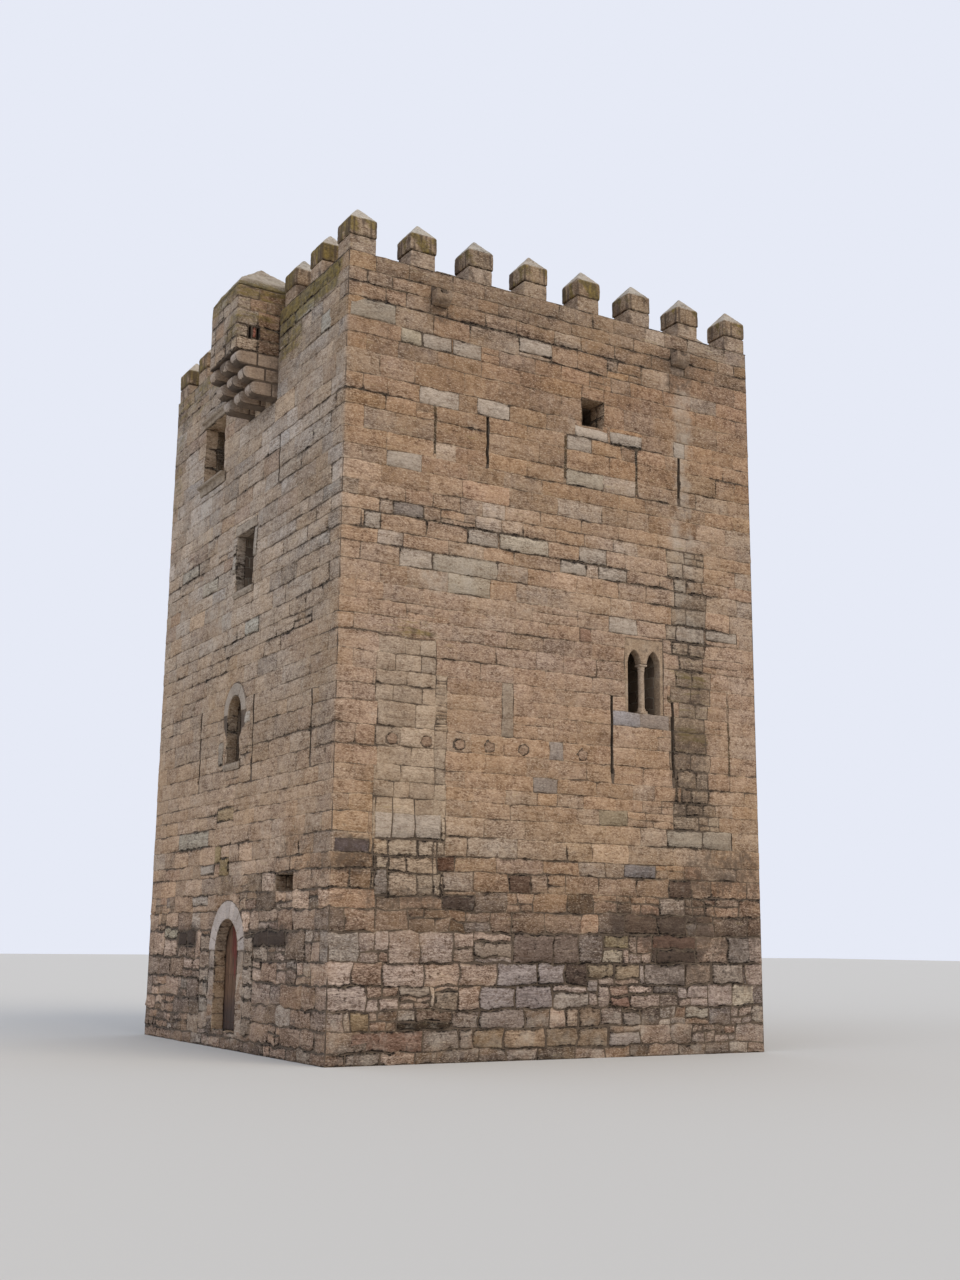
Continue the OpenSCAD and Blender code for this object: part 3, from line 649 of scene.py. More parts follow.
print(sum(map(len, SET.values())), "set stones,", sum(map(len, PATCHES.values())), "patches")


# %% [markdown]
# The colour of a stone comes from where it lies. The sandstone is a greyish ochre, warmer half
# way up, brown near the foot where rain splashes, and each block has its own tone on top, because
# blocks come from different beds of the quarry. The tone is kept as an attribute of the mesh.

# %% Tone of the stones
RISE_RIGHT = [(0.0, "#87766a"), (1.2, "#a69489"), (2.0, "#a69386"), (2.7, "#7f6857"),
              (3.4, "#9b816b"), (4.0, "#a08871"), (5.3, "#9d826b"), (8.0, "#9f8673"),
              (10.5, "#9d8571"), (12.0, "#937a64"), (14.5, "#8f735e"), (15.5, "#89725f"),
              (16.4, "#857363")]
RISE_FRONT = [(0.0, "#957e6e"), (1.5, "#b19885"), (3.0, "#af957f"), (3.8, "#af957e"),
              (5.0, "#af957d"), (6.5, "#9f8a76"), (9.0, "#a79583"), (13.0, "#a69a8e"),
              (16.4, "#938679")]


def rise(z, anchors):
    """Colour at a height, between the anchors below and above it."""
    zs, codes = zip(*anchors)
    return np.stack([np.interp(z, zs, part) for part in zip(*map(srgb, codes))], -1)


def tone(side, u, z, rng, calm=1.0):
    """Linear colour of one stone; calm scales how far it strays from its neighbours."""
    rgb = rise(z, RISE_FRONT if side == FRONT else RISE_RIGHT)
    if side == FRONT:
        rgb = rgb * (1 - 0.07 * np.clip((u - 2.5) / 2.5, 0, 1))
    pick = rng.random()
    # the middle of the wall is the calmest, the foot the most mixed
    calm = calm * float(np.interp(z, [0, 3.2, 4.4, 9.0, 9.8, 11, 15, 16],
                                  [2.0, 1.8, 0.65, 0.6, 1.2, 1.15, 1.25, 1.4]))
    pale_share = float(np.interp(z, [8.3, 8.8, 10.8, 11.4], [0.08, 0.24, 0.24, 0.09]))
    # pale, grey, ochre, brown and reddish beds: share of all stones so far, colour, how much of it
    kinds = ((pale_share, "#8f8173" if 2.6 < z < 3.9 else "#a99e91", 0.34),
             (0.13, "#857a72", 0.3), (0.20, "#a37f57" if z > 3.4 else "#857568", 0.22),
             (0.27, "#785f4d", 0.3), (0.32, "#8c7060", 0.3))
    for limit, code, share in kinds:
        if pick < limit:
            rgb = rgb * (1 - share * calm) + srgb(code) * share * calm
            break
    if z < 3.4 and rng.random() < 0.3:
        rgb = rgb * rng.uniform(0.72, 0.9)
    warm = rng.normal(0, 0.014) * min(calm, 1.0)
    rgb = rgb * (1 + rng.normal(0, 0.045) * calm) * np.array([1 + warm, 1, 1 - 1.3 * warm])
    return linear(rgb)


print("a stone at 6 m:", [round(float(v), 3) for v in tone(RIGHT, 0, 6, np.random.default_rng(1))])


# %% [markdown]
# Weather is a second attribute: red for the black crust where water runs and stands, green for
# lichen, blue for the pale streaks of lime, alpha for how empty the joints are there. Each is a
# list of patches: left, right, foot, head and strength. The material breaks these soft shapes up
# with noise, so that no edge looks painted. The unseen sides have the patches of the right one.

# %% Weather of the walls
def patch_of(u, z, u0, u1, z0, z1, soft=0.18):
    """1 inside a rectangle, 0 outside it, with a soft edge."""
    a = np.clip((u - u0) / soft + 0.5, 0, 1) * np.clip((u1 - u) / soft + 0.5, 0, 1)
    return a * np.clip((z - z0) / soft + 0.5, 0, 1) * np.clip((z1 - z) / soft + 0.5, 0, 1)


CRUST = {
    RIGHT: [(1.25, 3.84, 2.48, 2.92, 0.8), (2.3, 3.5, 1.9, 2.2, 0.9), (3.1, 5.3, 3.3, 4.4, 0.45),
            (-5.3, -4.45, 3.5, 4.35, 0.5), (-5.3, 5.3, 2.2, 3.2, 0.16),
            (2.8, 3.9, 5.0, 7.2, 0.4), (3.0, 3.9, 7.3, 10.2, 0.3),
            (-4.6, -2.9, 2.9, 3.4, 0.3), (-0.9, -0.3, 9.0, 9.3, 0.3), (2.0, 5.3, 1.2, 2.6, 0.25),
            (-3.5, -2.8, 15.1, 15.7, 0.4), (2.8, 3.7, 14.9, 15.8, 0.45)],
    FRONT: [(-3.16, -1.8, 2.15, 2.55, 0.85), (1.56, 3.34, 2.2, 2.55, 0.85),
            (2.5, 5.3, 3.2, 4.6, 0.3), (1.2, 4.6, 10.8, 12.6, 0.25)],
}
LICHEN = {
    RIGHT: [(-4.27, -3.09, 8.3, 8.62, 0.5), (3.0, 3.9, 6.7, 7.1, 0.34), (3.0, 3.9, 7.9, 8.3, 0.34),
            (2.9, 3.9, 5.6, 9.2, 0.12), (0.9, 1.7, 2.2, 2.5, 0.2)],
    FRONT: [(-5.3, -2.0, 15.5, 16.4, 0.3), (1.7, 4.9, 15.75, 16.4, 1.0),
            (1.7, 3.0, 15.0, 15.75, 0.5), (-0.7, 0.1, 3.6, 4.1, 0.25),
            (-5.3, -4.6, 13.0, 15.4, 0.3)],
}
WASH = {
    RIGHT: [(2.95, 3.6, 9.2, 15.1, 0.42), (-5.3, 5.3, -0.1, 0.9, 0.25),
            (-3.5, -2.0, 9.2, 10.2, 0.3), (-0.5, 0.4, 13.3, 13.7, 0.2)],
    FRONT: [(-2.1, 0.1, 8.7, 10.1, 0.25), (-3.0, -1.7, 11.6, 13.4, 0.3), (-1.3, 1.2, 0, 2.2, 0.25)],
}
# bed joints that have lost their mortar
OPEN = {
    RIGHT: [(-4.9, 0.2, 15.3, 15.42, 0.9), (0.2, 2.2, 15.3, 15.42, 0.4),
            (-0.9, 2.2, 13.27, 13.4, 0.7), (-5.3, -3.5, 13.27, 13.4, 0.5),
            (-1.0, 1.1, 12.1, 12.24, 0.6), (0.8, 2.85, 10.07, 10.21, 1.0),
            (-0.3, 1.8, 10.38, 10.5, 0.7), (2.8, 3.6, 10.38, 10.5, 1.0),
            (3.45, 4.25, 10.08, 10.2, 1.0), (2.3, 3.9, 9.7, 9.82, 1.0),
            (2.0, 4.2, 9.28, 9.42, 0.9), (-3.3, -0.6, 10.74, 10.86, 0.5),
            (-4.0, -3.0, 9.7, 9.82, 0.6), (2.4, 4.0, 8.93, 9.05, 0.6), (-2.1, 0.6, 1.84, 1.96, 0.6),
            (2.0, 5.3, 1.84, 1.98, 0.6), (-1.8, 0.1, 2.43, 2.55, 0.5), (1.9, 2.9, 2.43, 2.55, 0.5),
            (-3.9, -2.5, 0.6, 0.8, 0.8), (2.6, 4.0, 4.7, 4.82, 0.9), (2.0, 3.9, 4.31, 4.43, 0.9),
            (3.0, 3.45, 4.9, 5.4, 0.9), (4.0, 5.3, 2.84, 2.96, 0.6), (2.9, 3.95, 4.8, 9.0, 0.35)],
    FRONT: [(-1.5, 0.4, 4.85, 5.2, 0.5), (-3.4, 1.9, 4.3, 4.5, 0.4), (1.7, 5.3, 8.5, 12.6, 0.25)],
}
WEATHER = (CRUST, LICHEN, WASH, OPEN)
for table in WEATHER:
    table[BACK] = table[LEFT] = table[RIGHT]


def weather(along, z):
    """Crust, lichen, lime and open joints at a place on the tower's strip."""
    s = np.mod(along, 4 * WIDE)
    which = np.minimum((s / WIDE).astype(int), 3)
    u = s - which * WIDE - HALF
    out = np.zeros(s.shape + (4,))
    for side in range(4):
        here = which == side
        if not here.any():
            continue
        for k, table in enumerate(WEATHER):
            for u0, u1, z0, z1, much in table[side]:
                out[..., k] += here * much * patch_of(u, z, u0, u1, z0, z1)
    out[..., 0] += 0.10 * np.clip((z - 15.2) / 1.1, 0, 1) + 0.12 * np.clip((3.2 - z) / 2, 0, 1)
    out[..., 1] += 0.16 * np.clip((z - 15.9) / 0.5, 0, 1)
    return np.clip(out, 0, 1)


print("crust over the door's right shoulder:",
      weather(np.array([sides(FRONT, 2.4)]), np.array([2.4]))[0].round(2))


# %% [markdown]
# Sandstone is sand held by a little lime and clay: matt, with a grain that is felt more than
# seen, thin beds that weather at different rates, and small pits where grains fell out. The
# grain is about 0.3 mm, far too fine to show on a tower, so it is drawn coarser, as flecks 50 mm
# long and 20 mm high. The beds are about 65 mm thick. Over the tone of each stone go crust,
# lichen and lime from the weather attribute, each broken up by its own noise, and the joint from
# the edge attribute. All of them are layers in one list, from the bare stone outwards.

# %% Layers of colour, and the way in from the edge of a stone
def layered(mat, colour, layers):
    """Lay colours over a colour. A layer is how it is laid, its colour, and the greys that are
    multiplied into its share; a grey in brackets is stretched from one range to another."""
    for how, laid, *greys in layers:
        share, *others = (add(mat, "MapRange", *grey) if isinstance(grey, tuple) else grey
                          for grey in greys)
        for grey in others:
            share = add(mat, "Math", share, grey, **TIMES)
        colour = add(mat, "Mix", share, colour, laid, **how)
    return colour


def surface(mat, colour, normal):
    """Link a material's colour and relief to its shader."""
    sockets = mat.node_tree.nodes["Principled BSDF"].inputs
    mat.node_tree.links.new(colour, sockets["Base Color"])
    mat.node_tree.links.new(normal, sockets["Normal"])
    print(mat.name, len(mat.node_tree.nodes), "nodes")


RIM = 0.055       # how far in from its edges a stone is rounded off


def way_in(mat, edge, cloud, mottle, opened):
    """Distance to the nearest edge of the stone, its corners rounded, made ragged."""
    four = add(mat, "SeparateColor", edge).node.outputs
    pulled = 0.0
    for one, two, spare in ((four["Red"], four["Green"], 0.006),
                            (four["Blue"], edge.node.outputs["Alpha"], 0.0)):
        nearer = add(mat, "Math", add(mat, "Math", one, two, **LEAST), spare, **PLUS)
        lack = add(mat, "Math", add(mat, "Math", RIM, nearer, **LESS), 0.0, **MOST)
        pulled = add(mat, "Math", lack, lack, pulled, **TIMES_PLUS)
    near = add(mat, "Math", RIM, add(mat, "Math", pulled, **ROOT), **LESS)
    fray = add(mat, "Math", cloud, 0.06, -0.065, **TIMES_PLUS)
    fray = add(mat, "Math", mottle, 0.07, fray, **TIMES_PLUS)
    return add(mat, "Math", fray, add(mat, "MapRange", opened, 0, 1.4, 0.4, 1.5), near,
               **TIMES_PLUS)


print("a stone is rounded off over", round(1000 * RIM), "mm at its edges")


# %% Material: weathered sandstone
def sandstone(name, rough=1.0, deep=1.0):
    """Sandstone by the tone, weather and edge attributes; rough scales how uneven it looks."""
    mat = material(name, Roughness=0.94, Specular_IOR_Level=0.25)
    place = add(mat, "TexCoord", out="Object")
    tooled, flaky, flat = (add(mat, "Mapping", place, Scale=size)
                           for size in ((20, 20, 46), (9, 9, 19), (1.6, 1.6, 15)))
    # swells of 1.8, 0.5 and 0.14 m, flakes of 110 by 50 mm, beds of 65 mm, flecks of 50 by 20 mm
    drift, blotch, cloud, mottle, beds, grain = (
        add(mat, "TexNoise", at, Scale=scale, Detail=detail, Roughness=fine, Distortion=bent)
        for at, scale, detail, fine, bent in (
            (place, 0.55, 4, 0.6, 0), (place, 1.9, 6, 0.65, 0), (place, 7.0, 5, 0.65, 0),
            (flaky, 1.0, 4, 0.7, 0.4), (flat, 1.0, 4, 0.6, 0.6), (tooled, 1.0, 4, 0.75, 0)))
    tone_in, wear, edge = (add(mat, "Attribute", attribute_name=key)
                           for key in ("tone", "weather", "edge"))
    stained, opened, upper = (output.node.outputs["Alpha"] for output in (tone_in, wear, edge))
    parts = add(mat, "SeparateColor", wear).node.outputs

    # only stones that have decayed are pitted
    pits = add(mat, "TexVoronoi", place, Scale=13.0, Randomness=1.0)
    pit = add(mat, "MapRange", add(mat, "Math", cloud, 0.34, pits, **TIMES_PLUS), 0.24, 0.34)
    pit = add(mat, "Math", pit, add(mat, "MapRange", opened, 0.35, 1.1, 0.75, 0), **MOST)

    # light and dark of the stone: the more its joints have decayed, the rougher it looks too
    light = 0.0
    for lump, much in ((blotch, 1.0), (cloud, 1.3), (mottle, 1.2), (beds, 1.3), (grain, 2.9)):
        swing = add(mat, "Math", lump, 0.5, **LESS)
        light = add(mat, "Math", swing, much * rough, light, **TIMES_PLUS)
    for grey in ((opened, 0.6, 1.25, 0.9, 1.25), (stained, 0.3, 1.0, 0.55, 1.0)):
        light = add(mat, "Math", light, add(mat, "MapRange", *grey), **TIMES)
    light = add(mat, "MapRange", light, -0.62, 1.0, 0.38, 2.0)
    light = add(mat, "Math", light, add(mat, "MapRange", pit, 0, 1, 1 - 0.42 * rough, 1.0),
                **TIMES)

    # the soft patches of crust, lichen and lime, broken up by noise
    crust, lichen, lime = (
        add(mat, "MapRange", add(mat, "Math", add(mat, "Math", lump, 0.5, **LESS), 1.7, parts[key],
                                 **TIMES_PLUS), 0.22, 0.60)
        for key, lump in (("Red", cloud), ("Green", beds), ("Blue", blotch)))
    moss = add(mat, "Mix", add(mat, "MapRange", cloud, 0.42, 0.62), "#4f4420", "#83702c", **OVER)

    # the joint: how near its edge is, and how wide it is there
    near = way_in(mat, edge, cloud, mottle, opened)
    half_width = add(mat, "Math", add(mat, "MapRange", opened, 0.1, 1.4, 0.003, 0.018),
                     add(mat, "MapRange", opened, 1.15, 1.4, 0, 0.012), **PLUS)
    half_width = add(mat, "Math", half_width, add(mat, "MapRange", blotch, 0.36, 0.64, 0.3, 1.8),
                     **TIMES)
    joint = add(mat, "MapRange", near, add(mat, "Math", half_width, 0.4, **TIMES),
                add(mat, "Math", half_width, 0.006, **PLUS), 1, 0)

    # how far this bit of joint has lost its mortar, and what is seen in it
    swing = add(mat, "Math", blotch, 0.5, **LESS)
    lost = add(mat, "MapRange", add(mat, "Math", swing, 3.0, opened, **TIMES_PLUS), 0.5, 1.15)
    full = add(mat, "Mix", add(mat, "MapRange", cloud, 0.46, 0.56), "#66523f", "#b3a189", **OVER)
    full = add(mat, "Mix", 1.0, add(mat, "Mix", 0.6, tone_in, full, **OVER), light, **SHADE)
    empty = add(mat, "Mix", add(mat, "MapRange", opened, 0.5, 1.2), "#4a392c", "#1f1712", **OVER)
    filling = add(mat, "Mix", lost, full, empty, **OVER)
    # decayed stones split along their beds, in short dark seams
    split = add(mat, "Math", add(mat, "Math", beds, 0.5, **LESS), **SIZE)
    drifted = add(mat, "Math", cloud, 0.4, add(mat, "Math", drift, 0.6, **TIMES), **TIMES_PLUS)

    colour = layered(mat, add(mat, "Mix", 1.0, tone_in, light, **SHADE), (
        # hollows are browner than the face, worn faces greyer
        (SHADE, "#f0dccb", (light, 0.55, 0.95, 0.8, 0)),
        (OVER, "#b5a998", (light, 1.1, 1.7, 0, 0.30 * rough)),
        # ochre clouds and pale flecks
        (OVER, "#a8845a", (drifted, 0.40, 0.64, 0, 0.38 * rough), (opened, 0.8, 1.2, 1, 0.35),
         stained),
        (OVER, "#d2c1a8", (grain, 0.56, 0.68, 0, 0.6 * rough), stained),
        # seams
        (SHADE, "#5c4c40", (split, 0.0, 0.05, 1, 0), (opened, 0.6, 1.2, 0.0, 0.75),
         (cloud, 0.42, 0.58)),
        (OVER, "#b5aa9b", lime, 0.55),
        (OVER, moss, lichen, 0.74),
        (OVER, "#4a3d34", crust, 0.72),
        # decayed stones are painted darker towards their edges: grime, and painted shade where they
        # round off into the joint
        (SHADE, "#7d6e61", (near, 0.0, RIM, 1, 0), (opened, 0.6, 1.2, 0, 0.6)),
        (OVER, filling, joint, (lost, 0, 1, 0.7, 0.95)),
        # the stone above an empty joint throws a shadow on the one below
        (SHADE, "#5a4b40", (upper, 0.015, 0.065, 1, 0), (opened, 0.5, 1.2, 0, 0.85),
         (blotch, 0.4, 0.6)),
        # arrises chipped back to fresher stone
        (OVER, "#bba78b", (near, 0.012, 0.05, 1, 0), (mottle, 0.48, 0.6),
         (opened, 0, 1.2, 0.15, 0.5))))

    height = add(mat, "Math", joint, add(mat, "MapRange", lost, 0, 1, -0.35, -1.3), **TIMES)
    for lump, much in ((grain, 0.4), (cloud, 0.8), (mottle, 1.0), (beds, 0.9), (pit, 0.5)):
        height = add(mat, "Math", lump, much, height, **TIMES_PLUS)
    strength = add(mat, "MapRange", opened, 0.4, 1.1, 0.5, 0.9)
    surface(mat, colour, add(mat, "Bump", strength, 0.020 * deep, Height=height))
    return mat


wall_stone = sandstone("weathered_sandstone")
dressed_stone = sandstone("smooth_dressed_sandstone", rough=0.6, deep=0.5)

# %% [markdown]
# The solid walls of the frame show only in the joints and inside the rooms. Outside they are
# lime mortar gone brown, pressed back from the face. Inside, such keeps are lined with small
# coursed rubble, so the same material draws courses there: a brick pattern of 450 by 240 mm
# stones, its lines bent by noise, on the height and on the sum of the two level directions,
# which runs along every wall.

# %% Material: lime mortar outside, coursed rubble inside
rubble = material("lime_mortar_and_rubble", Roughness=0.95)
spot = add(rubble, "TexCoord", out="Object")
axes = add(rubble, "SeparateXYZ", spot).node.outputs
facing = add(rubble, "SeparateXYZ", add(rubble, "TexCoord", out="Normal"), out="Z")
upright = add(rubble, "MapRange", add(rubble, "Math", facing, **SIZE), 0.6, 0.7, 1, 0)
# on a wall the courses run round it and rise with Z, on a ceiling they take X and Y as they are
round_wall = add(rubble, "Math", axes["Y"], upright, axes["X"], **TIMES_PLUS)
risen = add(rubble, "Mix", upright, axes["Y"], axes["Z"], **OVER)
lumps, fine = (add(rubble, "TexNoise", spot, Scale=scale, Detail=detail, Roughness=0.6)
               for scale, detail in ((3.0, 5), (40.0, 4)))
sway = add(rubble, "Math", add(rubble, "Math", lumps, 0.5, **LESS), 0.22, **TIMES)
unrolled = add(rubble, "CombineXYZ", add(rubble, "Math", round_wall, sway, **PLUS),
               add(rubble, "Math", risen, sway, **PLUS))
bond = add(rubble, "TexBrick", unrolled, "#8f7c68", "#6f5e4e", "#9a8d7b", Scale=1.0,
           Mortar_Size=0.014, Mortar_Smooth=0.4, Brick_Width=0.45, Row_Height=0.24)
outer = add(rubble, "Mix", add(rubble, "MapRange", lumps, 0.35, 0.65), "#4d4035", "#6a5a4a",
            **OVER)
inner, outer = (add(rubble, "Mix", 1.0, face, add(rubble, "MapRange", fine, 0.2, 0.8, 0.7, most),
                    **SHADE) for face, most in ((bond, 1.2), (outer, 1.3)))
farthest = add(rubble, "Math", *(add(rubble, "Math", axes[way], **SIZE) for way in "XY"), **MOST)
is_face = add(rubble, "MapRange", farthest, HALF - 0.03, HALF - 0.02)
raised = add(rubble, "Math", add(rubble, "Math", lumps, 0.6, **TIMES), bond.node.outputs["Fac"],
             **LESS)
raised = add(rubble, "Math", fine, 0.3, raised, **TIMES_PLUS)
surface(rubble, add(rubble, "Mix", is_face, inner, outer, **OVER),
        add(rubble, "Bump", 0.8, 0.03, Height=raised))
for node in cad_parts.values():
    coat(node, rubble)
print("mortar and rubble on", len(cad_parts), "solids of the frame")

# %% [markdown]
# ## Laying the walls
# Quoins first: at each corner the stones take turns at lying long on one side and long on the
# other, which ties the walls together. The joints between the courses then run on from them.
# Below about 3.3 m the wall is rougher work, with shorter stones and wide open joints.

# %% Quoins at the four corners
tower_stones = [Masonry(tower, weather) for _ in range(4)]
corners = Masonry(tower, weather)
legs = {side: [] for side in range(4)}


def roughness(z):
    return float(np.interp(z, [0, 2.6, 3.6, 5.0, 16], [2.6, 2.4, 1.5, 1.0, 1.0]))


def joint_half(z):
    """Half the width of a mortar joint."""
    return float(np.interp(z, [0, 2.6, 3.6, 16], [0.019, 0.017, 0.010, 0.008]))


def swaying(z):
    """How crooked the edges of a stone run."""
    return float(np.interp(z, [0, 2.6, 4.0, 16], [0.016, 0.016, 0.008, 0.007]))


def openness(side, z):
    """How empty the joints are: nearly full in the calm middle of the wall, empty near the foot."""
    full = float(np.interp(z, [0, 2.9, 4.2, 6, 9, 9.6, 11.1, 11.8, 14.8, 15.6, 16.4],
                           [1.15, 1.0, 0.3, 0.12, 0.15, 0.45, 0.4, 0.2, 0.3, 0.7, 0.8]))
    if side == FRONT:
        full = max(full, 0.45)
    return full


rng = np.random.default_rng(1417)
for corner in range(4):
    after = (corner + 1) % 4
    for course, (z0, z1) in enumerate(zip(JOINTS, JOINTS[1:])):
        long_leg, short_leg = rng.uniform(0.62, 0.98), rng.uniform(0.34, 0.5)
        if (course + corner) % 2:
            long_leg, short_leg = short_leg, long_leg
        legs[corner].append((HALF - long_leg, HALF + 1, z0, z1))
        legs[after].append((-HALF - 1, -HALF + short_leg, z0, z1))
        fold = (corner + 1) * WIDE
        state = rng.bit_generator.state
        here = tone(corner, 4.9, z0, rng)
        rng.bit_generator.state = state
        there = tone(after, -4.9, z0, rng)
        corners.stone((fold - long_leg, fold + short_leg, z0, z1), (here, there), rng,
                      rough=roughness(z0), gap=joint_half(z0), folds=(fold,),
                      open_joint=openness(corner, z0), sway=swaying(z0))
corners.make("corner_quoins", wall_stone)


# %% The four walls
# discs that no stone may enter: middle and radius of the two arches and of the round plugs
SOCKETS = [(u, 6.22, 0.13) for u in (-4.05, -3.28, -2.52, -1.82, -0.99, 0.49)]
ARCHES = {FRONT: [(DOOR_X, DOOR_SPRING, DOOR_R + DOOR_BAND),
                  (LANCET_X, LANCET_SPRING, LANCET_R + LANCET_BAND)], RIGHT: SOCKETS}
ROUGH_WORK = 3.3        # up to here the courses are of shorter stones
PATCH_TONE = ("#aa9c88", "#8b7f6d", "#9c8f7e")     # pale patch, greenish strip, other patches
NAMES = {FRONT: "front", RIGHT: "right", BACK: "back", LEFT: "left"}


def lay(side, rect, colour, rng, proud=0.022, calm=1.0, gap=None, more_open=0.0, stained=1.0):
    """Lay one stone on a side, as rough and as open as its height asks for."""
    u0, u1, z0, z1 = rect
    near = [(sides(side, u), z, r) for u, z, r in ARCHES.get(side, [])
            if overlap(rect, (u - r, u + r, z - r, z + r))]
    tower_stones[side].stone((sides(side, u0), sides(side, u1), z0, z1), (colour,), rng,
                             proud=proud, rough=roughness(z0) * calm, gap=gap or joint_half(z0),
                             rounds=near, cell=0.09 if near else None, sway=swaying(z0),
                             stained=stained, open_joint=openness(side, z0) + more_open)


for side in range(4):
    rng = np.random.default_rng(100 + side)
    blocked = HOLES[side] + [r[:4] for r in SET[side]] + legs[side]
    for u0, u1, joints, mean in PATCHES[side]:
        rotten = side == RIGHT and u1 > 0
        for rect in broken(fill(u0, u1, joints, blocked, mean, rng), 0.2 if rotten else 0, rng):
            tint = tone(side, (rect[0] + rect[1]) / 2, rect[2], rng, 1.2 if rotten else 0.8)
            mend = PATCH_TONE[rotten if side == RIGHT else 2]
            tint = tint * 0.5 + linear(srgb(mend) * rng.uniform(0.88, 1.12)) * 0.5
            lay(side, rect, tint, rng, calm=2.2 if rotten else 1.5, gap=0.016 if rotten else 0.012,
                more_open=0.55 if rotten else 0.4, stained=0.6)
        blocked = blocked + [(u0, u1, joints[0], joints[-1])]
    for u0, u1, z0, z1, code in SET[side]:
        if code == CRACK:
            lay(side, (u0 - 0.01, u1 + 0.01, z0, z1), linear(code), rng, 0.003)
        else:
            tint = linear(srgb(code) * rng.uniform(0.97, 1.06) * (1.07 if z0 < 2.5 else 1.0))
            lay(side, (u0, u1, z0, z1), tint, rng, 0.030, calm=1.6,
                more_open=0.35 if z0 < 3.4 else 0.45, stained=0.35)
    low = [z for z in JOINTS if z < ROUGH_WORK]
    high = JOINTS[len(low) - 1:]
    for joints, mean, share in ((low, 0.68, 0.4), (high, 0.80, 0.03)):
        for rect in broken(fill(-HALF, HALF, joints, blocked, mean, rng), share, rng):
            tint = tone(side, (rect[0] + rect[1]) / 2, rect[2], rng)
            lay(side, rect, tint, rng)
    tower_stones[side].make(NAMES[side] + "_wall_stones", wall_stone)


# %% [markdown]
# Arch stones are the same stones bent round a centre: along the ring they are measured in
# degrees turned into metres at the middle of the band, and across it by the radius. The door's
# arch has eleven smooth wedges, the window over it is headed by three.

# %% Arch rings, jambs and round plugs
def ring_place(side, u, z, middle):
    """Along the ring in metres at its middle radius, across it by the radius."""
    def place(S, R, H):
        turn = S / middle
        return tower(sides(side, u) - R * np.cos(turn), z + R * np.sin(turn), H)
    return place


arch_stones = Masonry(tower)
rng = np.random.default_rng(7)
for u, z, inner_r, band, count, code in ((DOOR_X, DOOR_SPRING, DOOR_R, DOOR_BAND, 11, "#b7aaa0"),
                                         (LANCET_X, LANCET_SPRING, LANCET_R, LANCET_BAND, 3,
                                          "#9f9284")):
    middle = inner_r + band / 2
    ends = np.linspace(0, math.pi * middle, count + 1)
    for a, b in zip(ends, ends[1:]):
        arch_stones.stone((a, b, inner_r - 0.006, inner_r + band),
                          (linear(srgb(code) * rng.uniform(0.95, 1.05)),), rng, rough=0.5,
                          gap=0.006, cell=0.12, place=ring_place(FRONT, u, z, middle),
                          open_joint=0.5, sway=0.0, stained=0.4)
DOOR_SIDES = (DOOR_X - DOOR_R, DOOR_X + DOOR_R)
JAMB = 0.345        # width of the jamb stones
for u0, zs, code in ((DOOR_SIDES[0] - JAMB, [0.36, 0.80, 1.20, 1.66, 2.07], "#9b8c7f"),
                     (DOOR_SIDES[1], [0.36, 0.74, 1.12, 1.60, 2.07], "#a39486")):
    for z0, z1 in zip(zs, zs[1:]):
        arch_stones.stone((sides(FRONT, u0), sides(FRONT, u0 + JAMB), z0, z1),
                          (linear(srgb(code) * rng.uniform(0.92, 1.06)),), rng, rough=0.6,
                          gap=0.007, cell=0.12, open_joint=0.6)
for u, z, radius in SOCKETS:
    # a stone of one square turned into a disc
    def disc(S, Z, H, u=u, z=z, radius=radius):
        far = np.maximum(np.abs(S), np.abs(Z))
        shrink = far / np.maximum(np.hypot(S, Z), 1e-6)
        return tower(sides(RIGHT, u) + S * shrink, z + Z * shrink, H)
    arch_stones.stone((-radius, radius, -radius, radius), (tone(RIGHT, u, z, rng, 0.4) * 0.93,),
                      rng, rough=0.5, gap=0.012, cell=0.08, place=disc, open_joint=1.0, sway=0.0)
arch_stones.make("arch_and_jamb_stones", dressed_stone)

# %% [markdown]
# The reveals are the sides of the openings, as deep as the outer part of the wall. Their stones
# lie at right angles to the face: a left cheek looks along the wall, a sill looks up. Each is
# laid on a small plane of its own. Deep in the moulded window the cheeks are painted nearly black,
# as painted shade.

# %% Reveals of the windows and the doorway
def cheek(side, u, faces_right):
    """Plane of a jamb: along is depth into the wall, read in the sense that faces outwards."""
    def place(S, Z, H):
        if faces_right:
            return tower(sides(side, u) + H, Z, -S)
        return tower(sides(side, u) - H, Z, S)
    return place


def bed(side, z, looks_up):
    """Plane of a sill, which looks up, or of a head, which looks down."""
    def place(S, Z, H):
        if looks_up:
            return tower(sides(side, 0) + S, z + H, -Z)
        return tower(sides(side, 0) + S, z - H, Z)
    return place


reveals = Masonry(tower)


LAP = 0.018         # how far the stones of a reveal reach out past the wall


def line_opening(side, u0, u1, z0, z1, deep, colour, course=0.36, head=True, dark=None):
    """Line an opening this deep; past the depth `dark` its cheeks are painted nearly black, as
    painted shade.
    """
    rng = np.random.default_rng(int(1000 * (u0 + 9 + z0)))
    rows = np.linspace(z0, z1, max(2, round((z1 - z0) / course) + 1))
    opts = dict(proud=0.008, rough=0.6, gap=0.006, open_joint=0.7, sway=0.0, cell=0.16)
    for a, b in zip(rows, rows[1:]):
        for faces_right, u in ((True, u0), (False, u1)):
            cut = deep * rng.uniform(0.4, 0.6) if deep > 0.35 else None
            runs = [(-LAP, deep)] if cut is None else [(-LAP, cut), (cut, deep)]
            if dark:
                runs = [(-LAP, dark), (dark, deep)]
            for s0, s1 in runs:
                rect = (s0, s1, a, b) if faces_right else (-s1, -s0, a, b)
                # stones past the depth `dark` are painted nearly black: painted shade
                shade = 0.16 if dark and s0 >= dark else rng.uniform(0.9, 1.1)
                reveals.stone(rect, (colour * shade,), rng,
                              place=cheek(side, u, faces_right), **opts)
    reveals.stone((u0, u1, -LAP, deep), (colour * 0.95,), rng, place=bed(side, z0, True), **opts)
    if head:
        reveals.stone((u0, u1, -deep, LAP), (colour,), rng, place=bed(side, z1, False), **opts)


